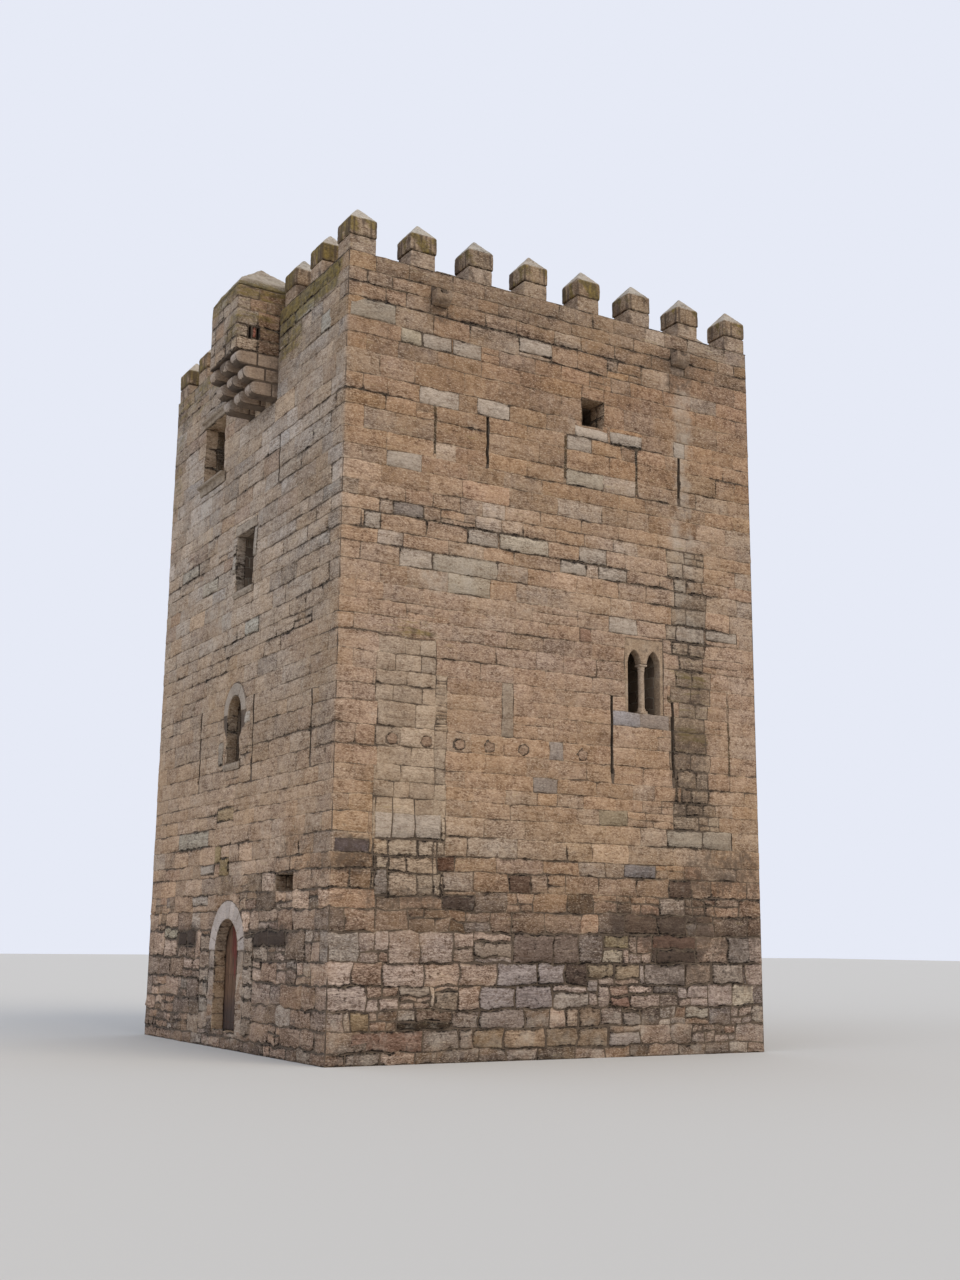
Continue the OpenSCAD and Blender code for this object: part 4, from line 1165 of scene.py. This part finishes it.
brown, pale = linear("#8d7864"), linear("#9d8f80")
line_opening(FRONT, *MIDDLE, 0.20, pale)
# past 0.30 m the moulded window's cheeks get painted shade
line_opening(FRONT, *MOULDED, 0.75, linear("#bba287"), course=0.5, dark=0.30)
line_opening(FRONT, *SMALL, 0.40, brown)
line_opening(FRONT, LANCET_X - LANCET_R, LANCET_X + LANCET_R, LANCET_Z, LANCET_SPRING, 0.24,
             linear("#94826f"), head=False)
line_opening(FRONT, *DOOR_SIDES, STEP_Z, DOOR_SPRING, 0.25, linear("#b0967a"), head=False)
for side in (RIGHT, BACK, LEFT):
    line_opening(side, *SQUARE, 0.50, linear("#9b846c"))
line_opening(BACK, *MIDDLE, 0.20, pale)
for u, z, radius, count, colour in ((DOOR_X, DOOR_SPRING, DOOR_R, 11, "#a08e7a"),
                                    (LANCET_X, LANCET_SPRING, LANCET_R, 3, "#94826f")):
    ends = np.linspace(0, math.pi * radius, count + 1)

    def soffit(S, Z, H, u=u, z=z, radius=radius):
        turn = S / radius
        return tower(sides(FRONT, u) - (radius - H) * np.cos(turn),
                     z + (radius - H) * np.sin(turn), Z)
    for a, b in zip(ends, ends[1:]):
        reveals.stone((a, b, -0.245, 0.015), (linear(colour),), rng, proud=0.006, rough=0.4,
                      gap=0.005, cell=0.1, place=soffit, open_joint=0.4, sway=0.0)
reveals.make("window_and_door_reveals", wall_stone)


# %% [markdown]
# The walk on top is paved with worn slabs, the breast wall has stones on its inner face and a
# coping of flat stones in the crenels.

# %% Terrace, inner faces and crenel sills
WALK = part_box("terrace")[1][2]
IN = HALF - (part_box("back_parapet")[1][1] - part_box("back_parapet")[0][1])
inside = strip([(IN, -IN), (-IN, -IN), (-IN, IN), (IN, IN)], closed=True)
top = Masonry(inside)
rng = np.random.default_rng(31)
# on the first side the way into the box is kept free, on the last one the scuppers
SCUPPER, SCUPPER_HALF = 0.18, 0.09
kept_free = [[(IN - WAY_IN[1], IN - WAY_IN[0], WALK, SILL)], [], [],
             [(7 * IN - u - SCUPPER_HALF, 7 * IN - u + SCUPPER_HALF, WALK, WALK + SCUPPER)
              for u in SPOUTS]]
for k, blocked in enumerate(kept_free):
    rows = [WALK, WALK + 0.29, SILL]
    for rect in fill(2 * IN * k, 2 * IN * (k + 1), rows, blocked, 0.7, rng):
        top.stone(rect, (tone(RIGHT, 0, 15.5, rng),), rng, open_joint=0.8)


def level_plane(z):
    return lambda S, Z, H: np.stack([S, Z, z + H], -1)


SLAB = 2 * IN / 14      # width of one row of slabs
for y in np.arange(-IN, IN - 0.3, SLAB):
    for rect in fill(-IN, IN, [y, y + SLAB], [], 0.95, rng):
        top.stone(rect, (linear(srgb("#83796b") * rng.uniform(0.9, 1.1)),), rng,
                  proud=0.014, place=level_plane(WALK), open_joint=0.9)


def coping(side):
    return lambda S, Z, H: tower(sides(side, 0) + S, SILL + H, -Z)


deep = HALF - IN
for side in range(4):
    under_box = [(BOX[0][0], BOX[1][0], -1, 2)] if side == FRONT else []
    for a, b, y0, y1 in fill(-HALF, HALF, [0.0, deep], under_box, 0.75, rng):
        if side in (RIGHT, LEFT):
            a, b = max(a, -IN), min(b, IN)
        top.stone((a, b, y0 - 0.012, y1 + 0.012), (tone(side, 0, 16.3, rng),), rng, proud=0.016,
                  place=coping(side), open_joint=0.7, sway=0.004)
top.make("terrace_and_breast_walls", wall_stone)


# %% [markdown]
# ## Single worked stones
# The merlons, their caps, the corbels, the roof of the box and the moulded stones have their
# right shape in the frame already. What they lack is age. A copy of the frame's solid is merged
# into one skin, remeshed into small even faces, which also rounds the arrises, and then shaken
# by a procedural cloud. The tone and weather attributes are painted on by height and by noise.

# %% Age a copy of a solid
def merged_copy(node_name, name, distance):
    """Copy a solid of the frame and merge its parts into one skin; the copy is in edit mode."""
    obj = bpy.data.objects.new(name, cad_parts[node_name].data.copy())
    scene.collection.objects.link(obj)
    pick_up(obj)
    bpy.ops.object.mode_set(mode="EDIT")
    bpy.ops.mesh.select_all(action="SELECT")
    bpy.ops.mesh.remove_doubles(threshold=distance)
    return obj


def modify(obj, kind, **settings):
    """Give the active object a modifier with these settings, and apply it."""
    modifier = obj.modifiers.new(kind, kind)
    for key, value in settings.items():
        setattr(modifier, key, value)
    bpy.ops.object.modifier_apply(modifier=modifier.name)


def rounded(obj, voxel, times):
    """Small even faces, with arrises that are smoothed this many times."""
    modify(obj, "REMESH", mode="VOXEL", voxel_size=voxel)
    modify(obj, "SMOOTH", factor=0.6, iterations=times)


def clouded(obj, size, depth, level=1.0):
    """Displace the faces by a smooth cloud. At level 1 they are only pushed in, never out."""
    texture = bpy.data.textures.new(obj.name + "_cloud", "CLOUDS")
    texture.noise_scale, texture.noise_depth = size, 2
    modify(obj, "DISPLACE", texture=texture, strength=depth, mid_level=level,
           texture_coords="LOCAL")


def weathered(node_name, name, mat, colour, wear=None, voxel=0.03, shake=0.012, soften=2,
              cloud=0.25, beds=(), opened=0.6):
    """Replace a solid of the frame by a copy of it that is rounded, worn and painted."""
    obj = merged_copy(node_name, name, 0.0005)
    bpy.ops.object.mode_set(mode="OBJECT")
    rounded(obj, voxel, soften)
    clouded(obj, cloud, shake, 0.55)
    clouded(obj, cloud / 4, shake * 0.45, 0.55)
    paint(obj, colour, wear, beds, opened)
    coat(obj, mat)
    obj.data.shade_smooth()
    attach(obj, "tower")
    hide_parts(node_name)
    shown(obj)


def paint(obj, colour, wear=None, beds=(), opened=0.6):
    """Tone, weather and edge for every point; beds are the heights of joints across the piece."""
    count = len(obj.data.vertices)
    pts = np.empty(count * 3)
    obj.data.vertices.foreach_get("co", pts)
    pts = pts.reshape(-1, 3)
    rgb = colour(pts) if callable(colour) else np.broadcast_to(srgb(colour), pts.shape)
    data = {"tone": np.ones((count, 4)), "weather": np.zeros((count, 4)),
            "edge": np.ones((count, 4))}
    data["tone"][:, :3] = linear(rgb)
    if wear is not None:
        data["weather"][:, :3] = wear(pts)
    data["weather"][:, 3] = opened
    for z in beds:
        away = np.abs(pts[:, 2] - z - 0.006 * wander(pts[:, 0] + pts[:, 1], z, 3, 0.8, 0.15, 6))
        data["edge"][:, 0] = np.minimum(data["edge"][:, 0], away)
    for key, values in data.items():
        layer = obj.data.color_attributes.new(key, "FLOAT_COLOR", "POINT")
        layer.data.foreach_set("color", values.astype(np.float32).ravel())


def block_tone(code, seed, step=0.7, spread=0.06):
    """One base colour that changes a little from stone to stone, by cells of the given size."""
    def colour(pts):
        cell = np.floor(pts / step).astype(int) @ np.array([73, 179, 283]) + seed
        wild = np.sin(cell * 12.9898) * 43758.5453
        return srgb(code) * (1 + spread * 2 * (wild - np.floor(wild) - 0.5))[:, None]
    return colour


CAP_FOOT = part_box("right_merlon_caps")[0][2]


def cap_slope(z):
    """0 on the upright sides of a cap, 1 on its slopes."""
    return np.clip((z - CAP_FOOT - 0.36) / 0.05, 0, 1)


def cap_wear(pts):
    """Lichen round the upper part of the cap's sides, most on the door side; lime on top."""
    z = pts[:, 2]
    slope = cap_slope(z)
    out = np.zeros((len(z), 3))
    side_on = 0.25 * wander(pts[:, 0] + pts[:, 1], z, 5, 3.0, 0.4, 6)
    patchy = 0.6 * wander(pts[:, 0], pts[:, 1] + 0.8 * z, 6, 1.9, 0.25, 7)
    runs = 0.5 * wander(pts[:, 0] + pts[:, 1], z * 0.25, 9, 0.5, 0.1, 7)
    door_side = np.clip((-pts[:, 1] - HALF + 0.3) / 0.2, 0, 1) * 0.55
    rim = 0.35 * np.clip((z - CAP_FOOT - 0.1) / 0.26, 0, 1)
    out[:, 1] = (side_on + patchy + door_side + rim) * (1 - 0.9 * slope)
    out[:, 2] = 0.45 * slope
    out[:, 0] = 0.05 + (0.20 + runs + 0.4 * door_side) * (1 - slope)
    return np.clip(out, 0, 1)


def merlon_wear(pts):
    out = np.zeros((len(pts), 3))
    out[:, 0] = 0.10 + 0.4 * wander(pts[:, 0] + pts[:, 1], pts[:, 2] * 0.3, 8, 0.9, 0.15, 7)
    out[:, 1] = 0.10
    return np.clip(out, 0, 1)


def cap_tone(pts):
    """Grey on the slopes of a cap, partly bleached by rain and partly painted light from the sky;
    brown on its sides.
    """
    slope = cap_slope(pts[:, 2])[:, None]
    stone_by_stone = block_tone("#ffffff", 9, 1.4, 0.08)(pts) / 255
    # the grey of the slopes is partly weathering and partly painted light
    return (srgb("#8f7c68") * (1 - slope) + srgb("#a6a39b") * slope) * stone_by_stone


for way in ("front", "right", "back", "left"):
    weathered(way + "_merlons", way + "_merlon_blocks", wall_stone,
              block_tone("#9c8a79", 3, 1.4), merlon_wear, shake=0.016, beds=(SILL, CAP_FOOT),
              opened=0.8)
    weathered(way + "_merlon_caps", way + "_cap_stones", wall_stone, cap_tone, cap_wear,
              shake=0.018, beds=(CAP_FOOT,), opened=0.8)

# %% [markdown]
# The box machicolation has five courses of stones on its front and cheeks and a low roof green
# with lichen at the eaves. Its corbels end in rolls, three under each other, and the loophole
# in the cheek is two slots with a reddish stone between them.

# %% Box machicolation
(BOX_X0, BOX_Y, BOX_Z0), (BOX_X1, _, BOX_Z1) = BOX
cheek_end = -IN
box_path = strip([(BOX_X0, cheek_end), (BOX_X0, BOX_Y), (BOX_X1, BOX_Y), (BOX_X1, cheek_end)])
depth = cheek_end - BOX_Y
wide = BOX_X1 - BOX_X0
turn_a, turn_b = depth, depth + wide
over_wall = depth - (-HALF - BOX_Y)        # part of a cheek that stands on the breast wall


def box_weather(along, z):
    """Lichen under the eaves and in a band over the slots, soot low on the front, open joints."""
    out = np.zeros(along.shape + (4,))
    for u0, u1, z0, z1, crust, lichen in (
            (-9, 99, BOX_Z1 - 0.30, BOX_Z1 + 0.2, 0.20, 0.60),
            (turn_b - 0.5, turn_b + 0.9, BOX_Z0 + 0.64, BOX_Z0 + 0.98, 0.10, 0.42),
            (turn_a + 0.9, turn_b + 0.1, BOX_Z0 + 0.10, BOX_Z0 + 0.66, 0.25, 0.38),
            (turn_b + 0.5, 99, BOX_Z0 - 0.2, BOX_Z0 + 0.9, 0.12, 0.20)):
        shape = patch_of(along, z, u0, u1, z0, z1, 0.25)
        out[..., 0] += crust * shape
        out[..., 1] += lichen * shape
    out[..., 3] = 0.30
    return np.clip(out, 0, 1)


box_stones = Masonry(box_path, box_weather)
rng = np.random.default_rng(3)
rows = [BOX_Z0, BOX_Z0 + 0.30, BOX_Z0 + 0.60, BOX_Z0 + 0.98, BOX_Z0 + 1.26, BOX_Z1]
LOOP = 0.07         # width of a slot
keep = [(-1, over_wall, 0, SILL), (turn_b + depth - over_wall, 99, 0, SILL)]
for back in (0.28, 0.47):       # of the two slots in each cheek, from the front of the box
    keep += [(turn_b + back, turn_b + back + LOOP, rows[1], rows[2]),
             (turn_a - back - LOOP, turn_a - back, rows[1], rows[2])]
for k, (z0, z1) in enumerate(zip(rows, rows[1:])):
    leg = 0.30 if k % 2 else 0.5
    for fold, back in ((turn_a, leg), (turn_b, 0.8 - leg)):
        quoin = (fold - back, fold + 0.8 - back, z0, z1)
        if z0 < BOX_Z0 + 0.5 and z1 > BOX_Z0 + 0.35:
            quoin = (fold - 0.26, fold + 0.26, z0, z1)
        keep.append(quoin)
        box_stones.stone(quoin, (tone(FRONT, 0, 15.0, rng),), rng, folds=(fold,), open_joint=0.7)
for rect in fill(0, turn_b + depth, rows, keep, 0.5, rng):
    if rect[1] - rect[0] < 0.14 and rect[2] > BOX_Z0 + 0.2 and rect[3] < BOX_Z0 + 0.7:
        colour = linear("#96594a")      # the reddish stone between two slots
    else:
        colour = tone(FRONT if rect[1] < turn_b else RIGHT, 0, 15.0, rng)
    box_stones.stone(rect, (colour,), rng, open_joint=0.7)
box_stones.make("box_machicolation_stones", wall_stone)


def roof_wear(pts):
    z = np.clip((pts[:, 2] - BOX_Z1) / 0.25, 0, 1)
    out = np.zeros((len(pts), 3))
    out[:, 1] = 0.75 * (1 - z) + 0.15
    out[:, 2] = 0.6 * z
    out[:, 0] = 0.25
    return out


weathered("machicolation_cap", "box_roof", wall_stone, block_tone("#8d867b", 4, 0.6), roof_wear,
          voxel=0.035, shake=0.03)

# %% [markdown]
# ## Rolled corbels
# Three corbels carry the box. Each is a stack of three stones, every one further out than the one
# below, and each ends in a full roll, which sheds water and leaves no arris to break. A stone is a
# cube whose two front arrises are bevelled by nearly half its height, so that they meet in a roll.
# The ends of the roll are bevelled too, by 45 mm, as rain rounds them. Behind each roll a plain
# block, the tail, runs into the wall.
# The solid of the frame stays behind them as the dark mortar that the joints show.

# %% Model the rolls
def pick(obj, kind, test):
    """Select the verts, edges or faces that pass a test; everything else is deselected."""
    modes = ("verts", "edges", "faces")
    bpy.context.tool_settings.mesh_select_mode = tuple(kind == mode for mode in modes)
    bpy.ops.mesh.select_all(action="DESELECT")
    mesh = bmesh.from_edit_mesh(obj.data)
    for item in getattr(mesh, kind):
        item.select_set(bool(test(item)))
    bmesh.update_edit_mesh(obj.data)


def span(edge, axis):
    """Length of an edge along one axis."""
    return abs(edge.verts[0].co[axis] - edge.verts[1].co[axis])


def farthest_y(edge):
    return max(vertex.co.y for vertex in edge.verts)


def block(name, lo, hi):
    """A cube between two corners, with its place and size in its mesh, in edit mode."""
    drop_selection()
    middle = [(a + b) / 2 for a, b in zip(lo, hi)]
    bpy.ops.mesh.primitive_cube_add(size=1, location=middle, scale=[b - a for a, b in zip(lo, hi)])
    obj = bpy.context.object
    obj.name = name
    bpy.ops.object.transform_apply(location=True, rotation=True, scale=True)
    bpy.ops.object.mode_set(mode="EDIT")
    return obj


def join(pieces, name):
    drop_selection()
    for piece in pieces:
        piece.select_set(True)
    bpy.context.view_layer.objects.active = pieces[0]
    bpy.ops.object.join()
    pieces[0].name = name
    return pieces[0]


CORBEL_LO, CORBEL_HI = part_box("machicolation_corbels")
TIERS, TIER_BACK, CORBEL_WIDE, SKIN, ROLL_END = 3, 0.185, 0.320, 0.027, 0.045
tier_h = (CORBEL_HI[2] - CORBEL_LO[2]) / TIERS
between_corbels = (CORBEL_HI[0] - CORBEL_LO[0] - CORBEL_WIDE) / 2
rng = np.random.default_rng(21)
rolls = []
for number in range(len(CORBELS)):
    x0 = CORBEL_LO[0] + number * between_corbels - SKIN
    x1 = x0 + CORBEL_WIDE + 2 * SKIN
    for tier in range(TIERS):
        top = CORBEL_HI[2] - tier * tier_h - rng.uniform(0.006, 0.016)
        foot = top - tier_h + rng.uniform(0.016, 0.030)
        nose = CORBEL_LO[1] + tier * TIER_BACK - rng.uniform(0.006, 0.022)
        split = min(nose + rng.uniform(0.50, 0.60), -HALF - 0.16)
        radius = (top - foot) * 0.47
        head = block("roll", (x0, nose, foot), (x1, split, top))
        pick(head, "edges", lambda e: span(e, 0) > 0.2 and farthest_y(e) < nose + 0.001)
        bpy.ops.mesh.bevel(offset=radius, segments=7)
        pick(head, "edges", lambda e: span(e, 0) < 0.001 and farthest_y(e) < nose + radius + 0.002)
        bpy.ops.mesh.bevel(offset=ROLL_END, segments=3)
        tail = block("tail", (x0 + rng.uniform(0.0, 0.006), split + 0.016, foot),
                     (x1 - rng.uniform(0.0, 0.006), -HALF + 0.02, top - 0.004))
        rolls += [head, tail]
bpy.ops.object.mode_set(mode="OBJECT")
for stone in rolls:
    pick_up(stone)
    rounded(stone, 0.021, 3)
corbels = join(rolls, "rolled_corbels")
clouded(corbels, 0.20, 0.016)
clouded(corbels, 0.05, 0.008)


def corbel_tone(pts):
    """Rolls bleached grey, the sides and the tails beige."""
    out = block_tone("#958270", 8, 0.33, 0.14)(pts)
    nose = CORBEL_LO[1] + np.floor((CORBEL_HI[2] - pts[:, 2]) / tier_h) * TIER_BACK
    share = np.clip(1 - (pts[:, 1] - nose) / 0.16, 0, 1)[:, None]
    return out * (1 - share) + srgb("#9f9388") * share


def corbel_darker_to_wall(pts):
    # the corbels are made darker towards the wall, through the crust channel
    out = np.zeros((len(pts), 3))
    out[:, 0] = 0.1 + 0.35 * np.clip((pts[:, 1] + HALF + 0.3) / 0.3, 0, 1)
    return out


paint(corbels, corbel_tone, corbel_darker_to_wall, opened=0.5)
coat(corbels, dressed_stone)
corbels.data.shade_smooth()
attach(corbels, "tower")
shown(corbels)
print("rolls and tails:", len(rolls), "stones,", len(corbels.data.polygons), "faces")

# %% [markdown]
# The moulded stones are of a finer, paler bed, and their edges are kept sharper.

# %% Window stones and spouts
def drip_wear(pts):
    out = np.zeros((len(pts), 3))
    out[:, 0], out[:, 1], out[:, 2] = 0.25, 0.05, 0.15
    return out


for node_name, name, code, voxel in (
        ("moulded_window_head", "moulded_window_hood", "#8f8272", 0.018),
        ("moulded_window_sill", "moulded_window_sill_stone", "#958878", 0.018),
        ("window_trim", "plain_lintel_and_sill", "#a39686", 0.018),
        ("lancet_surround", "lancet_head_and_sill", "#9a8b7a", 0.02),
        ("twin_window_head", "twin_window_slab", "#a08a73", 0.016),
        ("twin_window_column", "twin_window_colonnette", "#a6937f", 0.012),
        ("water_spouts", "worn_water_spouts", "#857362", 0.022)):
    weathered(node_name, name, dressed_stone, block_tone(code, 2, 0.9, 0.03), drip_wear,
              voxel=voxel, shake=voxel * 0.5, soften=1, cloud=0.15)

# %% [markdown]
# ## The door
# The leaf is six oak planks nailed to three ledges. It once had a coat of red paint, which has
# gone from the plank beside the hinges and from all that the rain reaches. A plank could be a
# plain bevelled box, but old planks are cupped, furred and rotten at the foot. So each one is a
# cube that is bevelled along its two front arrises, cut across and along into small faces, nibbled
# at the lower end and then pushed in a little by a cloud.

# %% [markdown]
# Old oak is grey-brown where it is bare, with a long grain that rain and sun have opened. The
# grain is 1 to 3 mm wide, too fine to show from across a yard, so it is drawn at 12 mm. Oil paint
# stays longest in streaks along the grain: it is a mask of the same stretched noise, held back
# near the hinges and low down, where the wood is black and blue-grey from wet.

# %% Material: weathered oak, with or without worn red paint
BOARD = 0.25        # width of a floor board


def oak(name, grain, light, dark, painted=False, toned=False, boards=False):
    """Oak with its grain along one axis: the leaf is painted, boards take the tone of each
    board, and under the floor the rows of boards are drawn."""
    mat = material(name, Roughness=0.82, Specular_IOR_Level=0.3)
    place = add(mat, "TexCoord", out="Object")
    along = add(mat, "Mapping", place, Scale=grain)
    fibre, figure, stain = (
        add(mat, "TexNoise", at, Scale=scale, Detail=detail, Roughness=rough)
        for at, scale, detail, rough in ((along, 1.0, 5, 0.65), (along, 0.25, 4, 0.6),
                                         (place, 3.0, 5, 0.6)))
    colour = add(mat, "Mix", add(mat, "MapRange", fibre, 0.35, 0.65), dark, light, **OVER)
    for grey in ((figure, 0.3, 0.7, 0.7, 1.2), (stain, 0.3, 0.7, 0.75, 1.15)):
        colour = add(mat, "Mix", 1.0, colour, add(mat, "MapRange", *grey), **SHADE)
    if painted:
        axes = add(mat, "SeparateXYZ", place).node.outputs
        hold = add(mat, "Math", add(mat, "MapRange", axes["Z"], 0.9, 2.1, -0.24, 0.04),
                   add(mat, "MapRange", axes["X"], -0.46, -0.2, -0.2, 0.06), **PLUS)
        for lump, much in ((figure, 0.75), (stain, 0.35)):
            hold = add(mat, "Math", lump, much, hold, **TIMES_PLUS)
        red = add(mat, "Mix", add(mat, "MapRange", fibre, 0.4, 0.62), "#431b17", "#80382f", **OVER)
        wet = add(mat, "Math", stain, -0.5, axes["Z"], **TIMES_PLUS)
        colour = layered(mat, colour, ((OVER, red, (hold, 0.47, 0.60, 0, 0.85)),
                                       (OVER, "#3e3735", (wet, 0.5, 1.0, 0.75, 0))))
    if toned:
        each = add(mat, "Attribute", attribute_name="tone")
        colour = add(mat, "Mix", 1.0, colour, each, **SHADE)
    if boards:
        rows = add(mat, "TexBrick", place, (1, 1, 1, 1), (0.8, 0.8, 0.8, 1), (0.1, 0.1, 0.1, 1),
                   Scale=1.0, Mortar_Size=0.004, Brick_Width=3.2, Row_Height=BOARD)
        colour = add(mat, "Mix", 1.0, colour, rows, **SHADE)
    raised = add(mat, "Math", figure, 0.6, fibre, **TIMES_PLUS)
    surface(mat, colour, add(mat, "Bump", 0.7, 0.006, Height=raised))
    return mat


red_oak = oak("worn_red_paint_on_oak", (80, 80, 3.5), "#8c6b52", "#4b382d", painted=True)
board_oak = oak("trodden_oak_boards", (3.5, 80, 80), "#9a8166", "#5e4b39", toned=True)
joist_oak = oak("sawn_oak_beams", (60, 3, 60), "#7d654c", "#4b3a2b", boards=True)

# %% Planks and ledges of the leaf
LEAF_LO, LEAF_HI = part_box("door_leaf")
PLANKS, PLANK_T, SPLIT = 6, 0.055, 0.002
pitch = (LEAF_HI[0] - LEAF_LO[0] + 2 * SPLIT) / PLANKS
rng = np.random.default_rng(12)
timbers = []
for k in range(PLANKS):
    x0 = LEAF_LO[0] + k * pitch
    plank = block("plank", (x0, LEAF_LO[1], LEAF_LO[2]),
                  (x0 + pitch - 2 * SPLIT, LEAF_LO[1] + PLANK_T, LEAF_HI[2]))
    pick(plank, "edges", lambda e: span(e, 2) > 1 and e.verts[0].co.y < LEAF_LO[1] + 0.001)
    bpy.ops.mesh.bevel(offset=0.008, segments=2)
    pick(plank, "edges", lambda e: span(e, 2) > 1)
    bpy.ops.mesh.subdivide(number_cuts=44)
    pick(plank, "edges", lambda e: span(e, 0) > 0.1)
    bpy.ops.mesh.subdivide(number_cuts=7)
    for _ in range(5):
        nibble = set(rng.choice(np.arange(-8, 9), 5))
        pick(plank, "verts", lambda v: v.co.z < LEAF_LO[2] + 0.012
             and round((v.co.x - x0 - pitch / 2) * 70) in nibble)
        bpy.ops.transform.translate(value=(0, 0, rng.uniform(0.004, 0.009)))
    bpy.ops.object.mode_set(mode="OBJECT")
    clouded(plank, 0.18, 0.007)
    clouded(plank, 0.04, 0.002)
    timbers.append(plank)
LEDGE_Z = [(LEAF_LO[2] + 0.09, LEAF_LO[2] + 0.24), (1.4735, 1.6235),
           (LEAF_HI[2] - 0.24, LEAF_HI[2] - 0.09)]
for z0, z1 in LEDGE_Z:
    ledge = block("ledge", (LEAF_LO[0] + 0.045, LEAF_LO[1] + PLANK_T, z0),
                  (LEAF_HI[0] - 0.045, LEAF_HI[1], z1))
    pick(ledge, "edges", lambda e: all(v.co.y > LEAF_HI[1] - 0.001 for v in e.verts))
    bpy.ops.mesh.bevel(offset=0.010, segments=2)
    pick(ledge, "edges", lambda e: span(e, 0) > 1)
    bpy.ops.mesh.subdivide(number_cuts=24)
    bpy.ops.object.mode_set(mode="OBJECT")
    clouded(ledge, 0.15, 0.004)
    timbers.append(ledge)
leaf = join(timbers, "plank_door_leaf")
coat(leaf, red_oak)
bpy.ops.object.shade_smooth_by_angle(angle=math.radians(35))
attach(leaf, "door")
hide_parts("door_leaf")
shown(leaf)

# %% [markdown]
# The nails are forged: a square shank and a head hammered into a low rose of eight facets. One
# head is a cone with its rim bevelled; two array modifiers repeat it across a ledge. The straps
# and the hooks they turn on are the frame's own shapes, copied, merged into one skin, and given
# the soft edge that hammering and rust leave. Wrought iron left outdoors is brown-black scale
# with orange rust where it has flaked, in spots of about 10 mm within flakes of about 45 mm.

# %% Material: rusted wrought iron
iron = material("rusted_wrought_iron", Metallic=0.25, Roughness=0.72)
iron_place = add(iron, "TexCoord", out="Object")
spots, flakes = (add(iron, "TexNoise", iron_place, Scale=scale, Detail=4, Roughness=rough)
                 for scale, rough in ((90.0, 0.65), (22.0, 0.6)))
rust = add(iron, "Mix", add(iron, "MapRange", spots, 0.4, 0.6), "#3a2418", "#7a4526", **OVER)
scaled = add(iron, "Mix", add(iron, "MapRange", flakes, 0.42, 0.58), "#2f2a27", rust, **OVER)
surface(iron, scaled, add(iron, "Bump", 0.6, 0.002, Height=spots))

# %% Nails, straps and hooks
HEAD_R, HEAD_H, PAIR = 0.014, 0.006, 0.09
rows = []
for z0, z1 in LEDGE_Z:
    drop_selection()
    first = LEAF_LO[0] - SPLIT + pitch / 2 - PAIR / 2
    bpy.ops.mesh.primitive_cone_add(
        vertices=8, radius1=HEAD_R, radius2=0.005, depth=HEAD_H, rotation=(math.pi / 2, 0, 0),
        location=(first, LEAF_LO[1] - HEAD_H / 2 + 0.001, (z0 + z1) / 2))
    nail = bpy.context.object
    bpy.ops.object.transform_apply(location=True, rotation=True, scale=True)
    bpy.ops.object.mode_set(mode="EDIT")
    pick(nail, "edges", lambda e: farthest_y(e) < LEAF_LO[1] - 0.004)
    bpy.ops.mesh.bevel(offset=0.0015, segments=1)
    bpy.ops.object.mode_set(mode="OBJECT")
    for count, step in ((2, PAIR), (PLANKS, pitch)):
        modify(nail, "ARRAY", count=count, use_relative_offset=False, use_constant_offset=True,
               constant_offset_displace=(step, 0, 0))
    rows.append(nail)
nails = join(rows, "rose_head_nails")


def forged(obj, body):
    coat(obj, iron)
    pick_up(obj)
    bpy.ops.object.shade_smooth_by_angle(angle=math.radians(30))
    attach(obj, body)
    shown(obj)


forged(nails, "door")
for node_name, name, body in (("door_straps", "strap_hinges", "door"),
                              ("door_pintles", "hinge_hooks", "tower")):
    piece = merged_copy(node_name, name, 0.0001)
    bpy.ops.mesh.dissolve_limited(angle_limit=0.01)
    bpy.ops.object.mode_set(mode="OBJECT")
    modify(piece, "BEVEL", width=0.0012, segments=2, angle_limit=math.radians(50))
    forged(piece, body)
    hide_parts(node_name)

# %% [markdown]
# ## Floors
# Each timber floor has broad oak boards across its joists, laid in random lengths, each a little
# darker or paler than the next. The ground floor and the passage behind the door are paved. All
# are laid with the same rule as the walls, only flat.

# %% Boards, paving and the step
boards = Masonry(level_plane(0))
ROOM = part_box("first_floor")[1][0]
rng = np.random.default_rng(55)
for storey in ("first_floor", "second_floor", "third_floor"):
    top_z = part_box(storey)[1][2]
    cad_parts[storey].data.materials[0] = joist_oak
    for y in np.arange(-ROOM, ROOM - 0.1, BOARD):
        ends = sorted([-ROOM, ROOM, rng.uniform(-2.6, -0.6), rng.uniform(0.6, 2.8)])
        for a, b in zip(ends, ends[1:]):
            boards.stone((a, b, y, min(y + BOARD, ROOM)), (np.full(3, rng.uniform(0.75, 1.15)),),
                         rng, proud=0.006, rough=0.25, gap=0.002, place=level_plane(top_z),
                         cell=0.5, open_joint=1.0, sway=0.0)
boards.make("oak_floor_boards", board_oak, slot="floor_oak")
flags = Masonry(level_plane(STEP_Z), cell=0.4)
FLAG = 2 * ROOM / 12      # width of one row of flags
for y in np.arange(-ROOM, ROOM - 0.3, FLAG):
    for rect in fill(-ROOM, ROOM, [y, y + FLAG], [], 0.9, rng):
        flags.stone(rect, (linear(srgb("#7f7060") * rng.uniform(0.88, 1.1)),), rng,
                    proud=0.010, open_joint=0.9)
PASSAGE = (DOOR_SIDES[0] - 0.16, DOOR_SIDES[1] + 0.16)      # the wider passage behind the leaf
for y0, y1 in ((-HALF + 0.25, -HALF + 0.78), (-HALF + 0.78, -ROOM)):
    for rect in fill(*PASSAGE, [y0, y1], [], 0.8, rng):
        flags.stone(rect, (linear(srgb("#7f7060") * rng.uniform(0.9, 1.1)),), rng,
                    proud=0.004, rough=0.3, open_joint=0.8)
flags.make("floor_flags", wall_stone, slot="paving")
